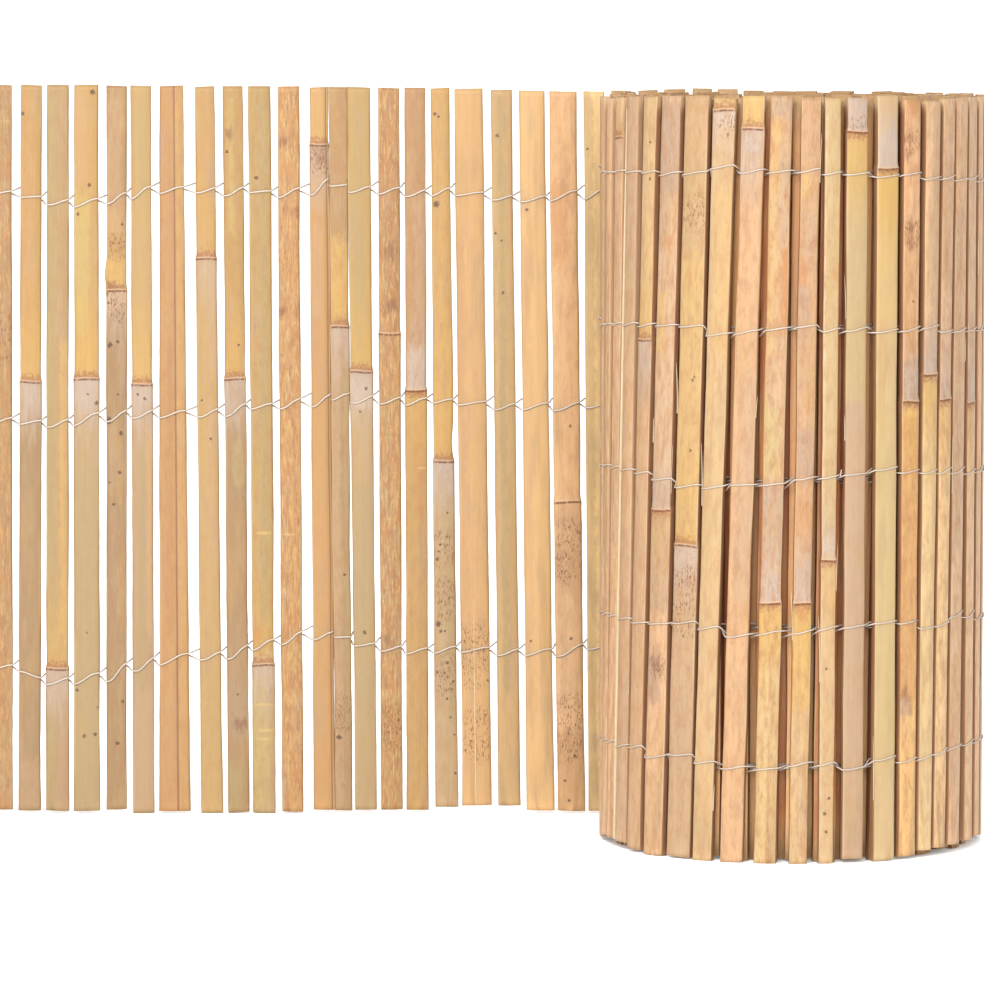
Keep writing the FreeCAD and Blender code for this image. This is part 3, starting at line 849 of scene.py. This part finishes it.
class Skin(Nodes):
    """The culm's outer skin, whose noises lie on the grain: across, the slat's own place, and up.

    A skin that isn't shown, on the inner turns, leaves out what can't be seen between the turns.
    """

    def __init__(self, name, shown):
        super().__init__(name)
        self.shown = shown
        self.grain = self.attribute("grain")
        self.mottle, self.specks, self.groove = self.split(self.attribute("marks"))
        distance, self.bloom, self.share = self.split(self.attribute("knot"))
        wobble = self.noise(self.grain, (900, 1, 90), 3)
        self.distance = self.maths("MULTIPLY_ADD", wobble, 0.0012, self.maths("SUBTRACT", distance, 0.0006))
        self.knotted = self.maths("LESS_THAN", self.distance, 1.0)

    def on_grain(self, across, along, detail, start, end, low=0.0, high=1.0, roughness=0.55):
        return self.veil(self.grain, (across, 1, along), detail, start, end, low, high, roughness)

    def lay_tones(self):
        """The two tones, which meet at the knot, with stripes and slow changes across and along."""
        upper, lower = self.attribute("upper"), self.attribute("lower")
        by_knot = self.mix(self.maths("GREATER_THAN", self.distance, 0.0), lower, upper)
        # Without a knot they run into each other in long patches
        patched = self.mix(self.on_grain(90, 7, 2, 0.38, 0.62), lower, upper)
        self.colour = self.mix(self.knotted, patched, by_knot)
        if self.shown:
            self.tint(self.on_grain(330, 2.5, 3, 0.50, 0.66, 0.0, 0.5, 0.6), GREENISH)
            self.tint(self.on_grain(300, 4, 4, 0.50, 0.66, 0.0, 0.6, 0.6), PINKISH)
        self.paint(self.on_grain(95, 14, 4, 0.47, 0.68, 0.0, 0.42), "amber")
        self.paint(self.on_grain(120, 22, 4, 0.48, 0.68, 0.0, 0.45, 0.6), "dun")
        if self.shown:
            hazy = self.on_grain(150, 28, 5, 0.52, 0.70, 0.0, 0.75, 0.65)
            self.paint(self.times(hazy, self.mottle), "haze")

    def lay_washes(self):
        """Washes of another tone with torn rims."""
        cover, strength = self.split(self.attribute("cover"))[:2]
        torn = self.on_grain(260, 110, 5, 0.3, 0.7, -0.35, 0.35, 0.65)
        inside = self.fade(self.maths("ADD", cover, torn), 0.3, 0.95)
        share = self.times(inside, self.maths("GREATER_THAN", cover, 0.01), strength)
        self.colour = self.mix(share, self.colour, self.attribute("wash"))

    def lay_knot(self):
        """The knot's warm band with its browner rim, and the powdery bloom on its other side.

        It gives back how near the knot a point lies on the bloom's side.
        """
        toward = self.times(self.distance, self.maths("SIGN", self.bloom))
        on_band = self.times(self.maths("LESS_THAN", toward, 0.0), self.knotted)
        on_bloom = self.times(self.maths("GREATER_THAN", toward, 0.0), self.knotted)
        size = self.maths("ABSOLUTE", self.bloom)
        reach = self.maths("ADD", toward, self.on_grain(260, 45, 3, 0.25, 0.75, -0.014, 0.014))
        self.paint(self.times(self.fade(reach, -0.075, -0.006, 0.0, 0.78), on_band, size), "band")
        dust = self.times(self.fade(reach, 0.002, 0.05, 1.2, 0.0), on_bloom, size)
        dust = self.maths("MINIMUM", dust, 0.95)
        self.paint(dust, "bloom")
        self.paint(self.times(self.on_grain(1500, 45, 3, 0.5, 0.68, 0.0, 0.55), dust), "slate")
        curdled = self.on_grain(420, 420, 4, 0.3, 0.7, -0.003, 0.003, 0.7)
        rim = self.fade(self.maths("ADD", toward, curdled), -0.0065, -0.0015, 0.0, 0.85)
        rim = self.times(rim, on_band)
        self.paint(rim, "scar")
        self.paint(self.times(rim, self.on_grain(800, 900, 3, 0.52, 0.64, 0.0, 0.7)), "line")
        return self.times(self.fade(toward, 0.003, 0.055, 1.0, 0.0), on_bloom)

    def lay_grain(self):
        """Fine and broad lengthwise grain, whose noises it gives back."""
        fine = self.noise(self.grain, (2600, 1, 30), 4, 0.6)
        broad = self.noise(self.grain, (340, 1, 7), 4, 0.6)
        self.tint(1.0, self.mix(self.fade(fine, 0.3, 0.7), (0.955, 0.94, 0.92), (1.03, 1.03, 1.03)))
        self.tint(1.0, self.mix(self.fade(broad, 0.3, 0.7), (0.965, 0.955, 0.94), (1.02, 1.02, 1.02)))
        return fine, broad

    def lay_mottling(self):
        """Brown blotches and light flecks, which a heavily mottled slat has more of."""
        self.paint(self.times(self.on_grain(220, 70, 5, 0.44, 0.62, 0.0, 0.7, 0.68), self.mottle), "scar")
        self.paint(self.times(self.on_grain(330, 120, 5, 0.55, 0.68, 0.0, 0.5, 0.7), self.mottle), "umber")
        if self.shown:
            heavy = self.times(self.mottle, self.mottle)
            self.paint(self.times(self.on_grain(240, 48, 4, 0.46, 0.62, 0.0, 0.55, 0.6), heavy), "ember")
            self.paint(self.times(self.on_grain(560, 80, 6, 0.51, 0.58, 0.0, 0.7, 0.8), heavy), "fleck")
            self.paint(self.times(self.on_grain(1100, 75, 5, 0.54, 0.64, 0.0, 0.5, 0.7), heavy), "umber")

    def lay_marks(self, spots, blots, stains, freckled, scratches, fine):
        """Placed marks with ragged rims."""
        for marks, scale, detail, roughness, size, end, force, tone in (
            (stains, (300, 120), 5, 0.65, 0.6, 1.3, 0.6, "ember"),
            (blots, (300, 120), 5, 0.65, 0.6, 1.1, 0.6, "umber"),
            (spots, (900, 900), 3, 0.55, 0.45, 0.45, 0.8, "spot"),
        ):
            if marks:
                ragged = self.on_grain(*scale, detail, 0.25, 0.75, -size, size, roughness)
                depth = self.maths("ADD", self.depth_in(self.grain, marks), ragged)
                self.paint(self.fade(depth, 0.05, end, 0.0, force), tone)
        if freckled:
            dots = self.on_grain(1000, 330, 5, 0.51, 0.58, 0.0, 0.95, 0.7)
            clumps = self.on_grain(260, 110, 3, 0.36, 0.54)
            dotted = self.times(self.fade(self.depth_in(self.grain, freckled), 0.0, 0.4), dots, clumps)
            brown = [(a + b) / 2 for a, b in zip(linear("umber"), linear("line"))]
            self.colour = self.mix(dotted, self.colour, brown)
        if scratches:
            short = self.stretched(self.grain, (1 / SCRATCH_STRETCH, 1, 1))
            shorter = [((a / SCRATCH_STRETCH, seed, z), radius) for (a, seed, z), radius in scratches]
            torn = self.fade(fine, 0.3, 0.7, -0.4, 0.4)
            depth = self.maths("ADD", self.depth_in(short, shorter), torn)
            self.paint(self.fade(depth, 0.2, 0.6, 0.0, 0.75), "fleck")

    def lay_specks(self, near_knot):
        """Specks everywhere and freckles by the knot."""
        self.paint(self.times(self.on_grain(650, 420, 2, 0.71, 0.76), self.specks), "spot")
        freckles = self.on_grain(1100, 480, 3, 0.60, 0.68)
        self.paint(self.times(freckles, near_knot, self.specks), "umber")

    def lay_edges(self):
        """The knot's light lip over its dark broken line, the lengthwise split and the worn edges."""
        broken = self.on_grain(700, 1, 3, 0.35, 0.55, 0.35, 1.0)
        under = self.maths("ABSOLUTE", self.maths("ADD", self.distance, 0.0008))
        self.paint(self.times(self.fade(under, 0.0003, 0.0011, 0.9, 0.0), broken), "line")
        over = self.maths("ABSOLUTE", self.maths("ADD", self.distance, -0.0003))
        self.paint(self.fade(over, 0.0, 0.0007, 0.8, 0.0), "lip")
        if self.shown:
            self.paint(self.fade(self.groove, 0.45, 1.0, 0.0, 0.7), "line")
        darker = self.mix(0.25, self.colour, linear("scar"))
        edge = self.mix(self.on_grain(40, 9, 2, 0.45, 0.6), darker, linear("pale"))
        worn = self.fade(self.maths("ABSOLUTE", self.share), 0.80, 1.0, 0.0, 0.6)
        self.colour = self.mix(worn, self.colour, edge)

    def paint_inner_shade(self):
        """Painted shade of the inner turns: a red brown tint, paler near the ground as painted floor light,
        and gone at their ends as painted light.
        """
        inner_shade = self.fade(self.split(self.attribute("cover"))[2], 1.0, 2.0)
        by_ground = self.fade(self.split(self.grain)[2], 0.02, 0.22, 1.0, 0.0)
        self.tint(inner_shade, self.mix(by_ground, INNER_SHADE_TINT, GROUND_LIT_SHADE_TINT))


def skin_material(name, marks=None):
    """The skin of shown slats with their marks, or of the inner turns where none are given."""
    n = Skin(name, marks is not None)
    n.lay_tones()
    if n.shown:
        n.lay_washes()
        near_knot = n.lay_knot()
    fine, broad = n.lay_grain()
    n.lay_mottling()
    if n.shown:
        n.lay_marks(*marks, fine)
        n.lay_specks(near_knot)
    n.lay_edges()
    # The inner turns get painted shade
    if not n.shown:
        n.paint_inner_shade()
    n.bump(fine, 0.0001, 0.3)
    return n.finish(n.fade(broad, 0.3, 0.7, 0.46, 0.62), 0.3)


def marked_skin(name, slats, seed, tables, numbers):
    """The skin of some of the slats, with only their own marks."""
    own = [[mark for mark in table if mark[0] in numbers] for table in tables]
    return skin_material(name, [slat_marks(slats, seed, marks) for marks in own])


def split_material():
    """The split sides and the back: pale rim by the skin, then pale and brown fibres."""
    n = Nodes("bamboo_split")
    grain = n.attribute("grain")
    fibres = n.noise(n.place(), (1900, 1900, 18), 4, 0.65)
    patches = n.noise(grain, (40, 1, 10), 3)
    n.colour = n.mix(n.fade(patches, 0.35, 0.65), n.attribute("lower"), n.attribute("upper"))
    # Painted shade: in the roll the sides are redder and darker than on the run, less so near the foot, and
    # not at their upper ends, which get painted light
    height = n.split(grain)[2]
    roll_shade = n.fade(n.split(n.attribute("cover"))[2], 0.0, 1.0)
    roll_shade = n.times(roll_shade, n.fade(height, 0.486, 0.496, 1.0, 0.0))
    n.colour = n.mix(0.35, n.colour, n.mix(roll_shade, linear("blush"), linear("deep")))
    n.paint(n.times(roll_shade, n.fade(height, 0.0, 0.2, 0.4, 0.65)), "side")
    n.paint(n.times(n.fade(fibres, 0.42, 0.62, 0.5, 0.0), n.fade(roll_shade, 0.0, 1.0, 0.3, 1.0)), "shade")
    strands = n.mix(roll_shade, linear("pale"), linear("deep"))
    n.colour = n.mix(n.fade(fibres, 0.55, 0.7, 0.0, 0.5), n.colour, strands)
    n.bump(fibres, 0.0003, 0.7)
    return n.finish(0.8, 0.2)


def cut_material():
    """The sawn ends: pale wood dotted with fibre bundles, and dirt."""
    n = Nodes("bamboo_cut")
    place = n.place()
    bundles = n.cells(place, (1700, 1700, 60))
    n.colour = n.mix(n.fade(bundles, 0.2, 0.55), linear("scar"), linear("wheat"))
    n.paint(n.veil(place, (160, 160, 160), 3, 0.45, 0.75, 0.0, 0.5), "scar")
    n.bump(bundles, 0.0002, 0.6)
    return n.finish(0.85)


def wire_material():
    """Thin galvanised wire: dull pale zinc with slight spangle and grime."""
    n = Nodes("galvanised_wire")
    place = n.place()
    zinc = n.noise(place, (900, 900, 900), 3)
    n.colour = n.mix(n.fade(zinc, 0.3, 0.7, 0.35, 0.0), linear("zinc"), linear("grime"))
    n.paint(n.veil(place, (90, 90, 90), 2, 0.5, 0.75, 0.0, 0.35), "grime")
    n.shader.inputs["Metallic"].default_value = 0.15
    n.bump(zinc, 0.00005, 0.5)
    return n.finish(n.fade(zinc, 0.3, 0.7, 0.4, 0.55))


def fibre_material():
    """Loose splinters: pale fibre, a little darker in places, drawn 1.25 times paler than their tones as
    painted light against the shade between the slats.
    """
    n = Nodes("bamboo_fibre")
    streaks = n.veil(n.place(), (1200, 1200, 60), 3, 0.35, 0.65)
    n.colour = n.mix(streaks, linear("pale", 1.25), linear("fibre", 1.25))
    return n.finish(0.8)


def tube(points, radius, sides):
    """Points and faces of a round wire along a line of points."""
    line = np.array(points)
    ways = np.gradient(line, axis=0)
    ways /= np.linalg.norm(ways, axis=1)[:, None]
    # No wire or splinter runs along this direction
    aside = np.array([0.36, 0.87, -0.33])
    side = np.cross(ways, aside)
    side /= np.linalg.norm(side, axis=1)[:, None]
    over = np.cross(side, ways)
    turn = 2 * math.pi * np.arange(sides) / sides
    rings = line[:, None] + radius * (
        side[:, None] * np.cos(turn)[None, :, None] + over[:, None] * np.sin(turn)[None, :, None]
    )
    count = len(line)
    faces = []
    for row in range(count - 1):
        for k in range(sides):
            n = (k + 1) % sides
            faces.append((row * sides + k, (row + 1) * sides + k, (row + 1) * sides + n, row * sides + n))
    faces.append(tuple(range(sides)))
    faces.append(tuple((count - 1) * sides + k for k in reversed(range(sides))))
    return rings.reshape(-1, 3), faces


def smooth_line(knots, step):
    """A smooth curve through the knots, with points about that step apart."""
    knots = np.array(knots)
    padded = np.vstack([2 * knots[0] - knots[1], knots, 2 * knots[-1] - knots[-2]])
    line = []
    for p0, p1, p2, p3 in zip(padded, padded[1:], padded[2:], padded[3:]):
        chord = np.linalg.norm(p2 - p1)
        t01, t12, t23 = (max(np.linalg.norm(b - a), 1e-6) ** 0.5 for a, b in ((p0, p1), (p1, p2), (p2, p3)))
        m1 = (p2 - p1) + t12 * ((p1 - p0) / t01 - (p2 - p0) / (t01 + t12))
        m2 = (p2 - p1) + t12 * ((p3 - p2) / t23 - (p3 - p1) / (t12 + t23))
        for t in np.linspace(0, 1, max(round(chord / step), 1), endpoint=False):
            line.append(
                (2 * t**3 - 3 * t**2 + 1) * p1 + (t**3 - 2 * t**2 + t) * m1
                + (3 * t**2 - 2 * t**3) * p2 + (t**3 - t**2) * m2
            )
    line.append(knots[-1])
    return line


def wire_piece(name, lines, radius, sides, material, nodes):
    """One piece from several wires that stand for CAD nodes."""
    tubes = [tube(line, radius, sides) for line in lines]
    obj = add_piece(name, *joined(tubes), [material], "wire")
    obj.data.polygons.foreach_set("use_smooth", [True] * len(obj.data.polygons))
    obj.data.update()
    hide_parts(*nodes)


def pass_points(slat, way, start, end, on_skin, radius, rng):
    """A strand's points over one slat's skin or back, from edge to edge, way along its width."""
    points = []
    sag = rng.uniform(-0.25, 0.1) * abs(end - start) if on_skin else 0.0
    for share in (-1.0, -0.5, 0.0, 0.5, 1.0):
        t = (share + 1) / 2
        z = start + (end - start) * (3 * t**2 - 2 * t**3) + sag * math.sin(math.pi * t)
        crown = slat.crown * (1 - share**2)
        b = slat.thickness + crown + radius if on_skin else -radius
        points.append(slat.point(way * share * slat.width_at(z) / 2, b, z))
    return points


def strand(slats, ways, skins, edges, lifts, first_front, twist, radius, rng):
    """One of two strands woven past the slats, changing sides in every gap.

    edges holds the row's height in each gap, lifts how far it lies off that over each slat, and
    twist how far the strands lie apart in each gap. A strand in front rises along the way and one
    behind falls, also within the gaps.
    """
    passes = []
    front = first_front
    for number, (slat, way, skin_in_front, lift) in enumerate(zip(slats, ways, skins, lifts)):
        side = -1 if front else 1
        start = edges[number] + lift + side * twist[number] * (1 + LENS_SLOPE) / 2
        end = edges[number + 1] + lift - side * twist[number + 1] * (1 - LENS_SLOPE) / 2
        passes.append(pass_points(slat, way, start, end, front == skin_in_front, radius, rng))
        front = not front
    knots = passes[0]
    for number in range(1, len(slats)):
        before, after = slats[number - 1], slats[number]
        z = (knots[-1][2] + passes[number][0][2]) / 2
        leave = before.point(ways[number - 1] * before.width_at(z) / 2, before.thickness / 2, z)
        enter = after.point(-ways[number] * after.width_at(z) / 2, after.thickness / 2, z)
        knots = knots + [(leave + enter) / 2] + passes[number]
    return knots


def wire_tail(start, outward, height, lean):
    """The short free end of a wire, standing off a row."""
    up = np.array([0.0, 0.0, 1.0])
    out = np.array([outward[0], outward[1], 0.0])
    side = np.array([-outward[1], outward[0], 0.0])
    return [
        start - side * lean,
        start + out * 0.3 * MM,
        start + up * height / 2 + side * lean / 2 + out * 0.6 * MM,
        start + up * height + side * lean + out * 0.4 * MM,
    ]


def run_row_edges(node_a, node_b, slats):
    """The height of a row of the run's wire in each gap, and how far its strands lie apart there."""
    strands = [islands(node)[0] for node in (node_a, node_b)]
    level = strands[0][:, 2].mean()
    sides = []
    for slat in slats:
        x = slat.back_at(level)[0]
        half = slat.width_at(level) / 2
        sides.append((x - half, x + half))
    gaps = [sides[0][0] - 3 * MM]
    gaps += [(left[1] + right[0]) / 2 for left, right in zip(sides, sides[1:])]
    gaps.append(sides[-1][1] + 2 * MM)
    heights, spans = [], []
    for x in gaps:
        a, b = (corners[np.argsort(abs(corners[:, 0] - x))[:6], 2].mean() for corners in strands)
        heights.append((a + b) / 2)
        spans.append(abs(a - b))
    return heights, spans


def lay_run_wires(frame, slats, material):
    for row in ("top", "middle", "bottom"):
        names = (f"run_wire_{row}_a", f"run_wire_{row}_b")
        heights, spans = run_row_edges(frame["nodes"][names[0]], frame["nodes"][names[1]], slats)
        heights = [height + RUN_ROW_LIFTS[row] * MM for height in heights]
        rng = np.random.default_rng(len(row))
        twist = [max(span, LEAST_TWIST) * rng.uniform(0.75, 1.25) for span in spans]
        ways = [1 if slat.across[0] > 0 else -1 for slat in slats]
        skins = [slat.outward[1] < 0 for slat in slats]
        for name, front in zip(names, (True, False)):
            knots = strand(slats, ways, skins, heights, [0.0] * len(slats), front, twist, WIRE_RADIUS, rng)
            first = knots[0] + np.array([-FREE_START, FREE_SIDE if front else -FREE_SIDE, 0.0])
            last = knots[-1] + np.array([FREE_END, 0.0, 0.0])
            line = smooth_line([first] + knots + [last], WIRE_STEP)
            wire_piece(f"{name}_round", [line], WIRE_RADIUS, WIRE_SIDES, material, [name])


def lay_roll_wires(frame, slats, material):
    """Five rows of two twisted strands, woven through the roll from the joining slat inwards."""
    for number in range(1, 6):
        node = f"roll_wire_{number}"
        low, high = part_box(node)
        middle = (low.z + high.z) / 2 + ROLL_ROW_LIFTS[number] * MM
        rng = np.random.default_rng(ROLL_WIRE_DRAWS + number)
        place = np.arange(len(slats) + 1)
        edges = middle + waver(rng, place.astype(float), ROW_BENDS, ROW_WAVER)
        twist = ROLL_TWIST * rng.uniform(0.5, 1.5, len(slats) + 1)
        lifts = np.zeros(len(slats))
        first = 1 + ROLL_HIDDEN_SLATS
        passes = np.array(ROLL_PASS_LIFTS[number]) * MM
        lifts[first:first + len(passes)] = passes
        lifts[first - len(PASS_TAPER):first] = passes[0] * np.array(PASS_TAPER)
        lines = []
        for front in (True, False):
            # The winding runs leftwards as seen from outside, so a strand on the skins falls along it
            ways, skins = [-1] * len(slats), [True] * len(slats)
            knots = strand(slats, ways, skins, edges, lifts, front, -twist, ROLL_WIRE_RADIUS, rng)
            lines.append(smooth_line(knots, ROLL_WIRE_STEP))
        for row, pixel in ROLL_TAILS:
            if row == number:
                lines.append(smooth_line(tail_at(lines[0], pixel, rng), WIRE_STEP))
        wire_piece(f"{node}_round", lines, ROLL_WIRE_RADIUS, ROLL_WIRE_SIDES, material, [node])


def tail_at(line, pixel, rng):
    """A free wire end on the near side of the roll, where the photograph shows one."""
    line = np.array(line)
    away = line[:, 1] - CAMERA_PLACE[1]
    columns = IMAGE_PIXELS / 2 + FOCAL_PIXELS * (line[:, 0] - CAMERA_PLACE[0]) / away
    near = away < np.median(away)
    start = line[near][np.argmin(abs(columns[near] - pixel))]
    return wire_tail(start, (0.0, -1.0), rng.uniform(5, 8) * MM, rng.uniform(-2, 2) * MM)


def splinter(slat, side, height, length, thickness, lift):
    """A tapered sliver along a slat's edge, loose at its upper end."""
    line, radii = [], []
    for t in np.linspace(0, 1, 9):
        z = height + length * t
        a = side * (slat.width_at(z) / 2 + lift * t**2)
        line.append(slat.point(a, slat.thickness + slat.crown * max(0, 1 - side**2) + 0.5 * lift * t**2, z))
        radii.append(thickness * (1 - 0.7 * t**4))
    return line, radii


def lay_splinters(run, outer, material):
    """Loose slivers on the split edges of the run and of the roll's outer turn."""
    rng = np.random.default_rng(SPLINTER_DRAWS)
    made = [
        splinter(outer[ROLL_HIDDEN_SLATS + 17], -1.08, 0.006, 0.485, 1.0 * MM, 0.0),
        splinter(run[17], -0.08, run[17].low + MM, 0.143, 0.4 * MM, 0.0),
    ]
    for slats, count in ((outer, OUTER_SPLINTERS), (run, RUN_SPLINTERS)):
        for number in rng.integers(0, len(slats), count):
            slat = slats[number]
            length = rng.uniform(0.01, 0.045)
            height = rng.uniform(slat.low + 0.01, slat.high - length - 0.01)
            lift = rng.uniform(0.2, 1.6) * MM
            thickness = rng.uniform(0.15, 0.32) * MM
            made.append(splinter(slat, rng.choice((-1, 1)), height, length, thickness, lift))
    tubes = []
    for line, radii in made:
        rings, quads = tube(line, 1.0, SPLINTER_SIDES)
        centres = np.repeat(np.array(line), SPLINTER_SIDES, axis=0)
        widths = np.repeat(radii, SPLINTER_SIDES)[:, None]
        tubes.append((centres + (rings - centres) * widths, quads))
    add_piece("splinters", *joined(tubes), [material], "bamboo")


def order_along_roll(slats, joining):
    """The roll's slats in the order in which they are wound, from the joining slat inwards."""
    remaining = list(slats)
    placed = [joining]
    level = (joining.low + joining.high) / 2

    def edge(slat, side):
        half = slat.width_at(level) / 2
        return slat.point(side * half, slat.thickness / 2, level)

    while remaining:
        spot = edge(placed[-1], -1)
        gaps = [np.linalg.norm(edge(slat, 1) - spot) for slat in remaining]
        placed.append(remaining.pop(int(np.argmin(gaps))))
    return placed[1:]


def stage():
    """A pale floor and soft even light, as on a product table."""
    mesh = bpy.data.meshes.new("floor")
    far = 60.0
    mesh.from_pydata([(-far, -far, 0), (far, -far, 0), (far, far, 0), (-far, far, 0)], [], [(0, 1, 2, 3)])
    floor = bpy.data.objects.new("floor", mesh)
    bpy.context.scene.collection.objects.link(floor)
    n = Nodes("floor_pale")
    n.colour = (FLOOR_WHITE, FLOOR_WHITE, FLOOR_WHITE)
    n.put(n.shader.inputs["Emission Color"], (1.0, 1.0, 1.0))
    n.put(n.shader.inputs["Emission Strength"], FLOOR_GLOW)
    mesh.materials.append(n.finish(1.0, 0.0))

    world = bpy.data.worlds.new("studio")
    bpy.context.scene.world = world
    world.use_nodes = True
    background = world.node_tree.nodes["Background"]
    background.inputs["Color"].default_value = (1.0, 1.0, 1.0, 1.0)
    background.inputs["Strength"].default_value = WORLD_LIGHT

    for name, place, size, power in (
        ("key", (-1.2, -2.7, 2.5), 1.2, KEY_POWER),
        ("fill", (0.1, -3.5, 1.4), 1.4, FILL_POWER),
    ):
        light = bpy.data.lights.new(name, "AREA")
        light.size = size
        light.energy = power
        lamp = bpy.data.objects.new(name, light)
        lamp.location = place
        aim = np.array([0.0, 0.0, 0.25]) - np.array(place)
        lamp.rotation_euler = (
            math.atan2(math.hypot(aim[0], aim[1]), -aim[2]),
            0.0,
            math.atan2(-aim[0], aim[1]),
        )
        bpy.context.scene.collection.objects.link(lamp)


def camera():
    data = bpy.data.cameras.new("camera")
    data.sensor_width = SENSOR_WIDTH
    data.lens = FOCAL_PIXELS / IMAGE_PIXELS * SENSOR_WIDTH
    data.clip_start, data.clip_end = 0.1, 200.0
    cam = bpy.data.objects.new("camera", data)
    cam.location = CAMERA_PLACE
    cam.rotation_euler = (math.pi / 2 - CAMERA_PITCH, 0.0, 0.0)
    bpy.context.scene.collection.objects.link(cam)
    bpy.context.scene.camera = cam


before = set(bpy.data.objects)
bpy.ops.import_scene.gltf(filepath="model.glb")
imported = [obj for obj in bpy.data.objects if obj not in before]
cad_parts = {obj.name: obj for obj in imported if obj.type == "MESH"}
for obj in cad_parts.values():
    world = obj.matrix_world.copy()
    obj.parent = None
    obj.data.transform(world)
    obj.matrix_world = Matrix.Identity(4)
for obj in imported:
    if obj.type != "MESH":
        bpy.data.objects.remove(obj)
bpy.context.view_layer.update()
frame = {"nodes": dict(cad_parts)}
bpy.context.scene.view_settings.view_transform = "Standard"
camera()
stage()

names = sorted(name for name in frame["nodes"] if name.startswith("run_slat_"))
run = [Slat(islands(frame["nodes"][name])[0]) for name in names]
joining = Slat(islands(frame["nodes"]["joining_slat"])[0])
outer = [Slat(corners) for corners in islands(frame["nodes"]["roll_outer_turn"])]
inner = [Slat(corners) for corners in islands(frame["nodes"]["roll_inner_turns"])]
wound = order_along_roll(outer + inner, joining)
outer, inner = wound[:len(outer)], wound[len(outer):]
shown = outer[ROLL_HIDDEN_SLATS:]
for number, height in RUN_FAINT_KNOTS.items():
    run[number].mark_faint_knot(height)
for number, height in ROLL_FAINT_KNOTS.items():
    shown[number].mark_faint_knot(height)
for number, shift in ROLL_MOVED_KNOTS.items():
    shown[number].knot += shift * MM

sides = [split_material(), cut_material()]
run_tables = (RUN_SPOTS, RUN_BLOTS, (), RUN_FRECKLES, RUN_SCRATCHES)
roll_tables = (ROLL_SPOTS, ROLL_BLOTS, ROLL_STAINS, ROLL_FRECKLES, ())

run_skins = {}
for group, numbers in RUN_SKINS.items():
    material = marked_skin(f"bamboo_skin_{group}", run, RUN_SEED, run_tables, numbers)
    run_skins.update({number: material for number in numbers})
plain = skin_material("bamboo_skin_plain", ((), (), (), (), ()))

for number, (name, slat) in enumerate(zip(names, run)):
    look = RUN_LOOKS[number] if number < len(RUN_LOOKS) else OTHER_LOOKS[number % len(OTHER_LOOKS)]
    made = slat_mesh(
        slat, look, np.random.default_rng(RUN_DRAWS + number), SHOWN_ROWS, SHOWN_SKIN,
        RUN_SEED + SEED_STEP * number, RUN_TINT, RUN_TONE_AND_PAINTED_LIGHT.get(number, 1.0), number,
        RUN_SPLITS.get(number), RUN_NICKS, RUN_WASHES,
    )
    build(f"{name}_bamboo", [made], [run_skins.get(number, plain)] + sides, name)
rng = np.random.default_rng(JOINING_DRAWS)
made = slat_mesh(joining, OTHER_LOOKS[0], rng, SHOWN_ROWS, SHOWN_SKIN, JOINING_SEED)
build("joining_slat_bamboo", [made], [plain] + sides, "joining_slat")

made = []
for number, slat in enumerate(outer):
    place = number - ROLL_HIDDEN_SLATS
    look = ROLL_LOOKS[place] if 0 <= place < len(ROLL_LOOKS) else OTHER_LOOKS[number % len(OTHER_LOOKS)]
    made.append(slat_mesh(
        slat, look, np.random.default_rng(OUTER_DRAWS + number), SHOWN_ROWS, SHOWN_SKIN,
        OUTER_SEED + SEED_STEP * place, ROLL_TINT, SHOWN_TONE_AND_PAINTED_LIGHT.get(place, 1.0), place,
        washes=ROLL_WASHES, depth=1.0 if place < ROLL_PALE_SIDES else PALE_SIDES_DEPTH,
    ))
half = len(made) // 2
for side, part, numbers in (
    ("back", made[:half], range(half - ROLL_HIDDEN_SLATS)),
    ("front", made[half:], range(half - ROLL_HIDDEN_SLATS, len(ROLL_LOOKS))),
):
    material = marked_skin(f"bamboo_skin_{side}", shown, OUTER_SEED, roll_tables, numbers)
    build(f"roll_outer_{side}_bamboo", part, [material] + sides, "roll_outer_turn")

made = []
# The inner turns get dark looks and a depth of 2: painted shade
for number, slat in enumerate(inner):
    look = INNER_LOOKS[(3 * number) % len(INNER_LOOKS)]
    rng = np.random.default_rng(INNER_DRAWS + number)
    seed = INNER_SEED + SEED_STEP * number
    made.append(slat_mesh(slat, look, rng, HIDDEN_ROWS, HIDDEN_SKIN, seed, depth=2.0))
build("roll_inner_bamboo", made, [skin_material("bamboo_skin_inner")] + sides, "roll_inner_turns")
lay_splinters(run, outer, fibre_material())

wire = wire_material()
lay_run_wires(frame, run + [joining], wire)
lay_roll_wires(frame, [joining] + outer + inner, wire)
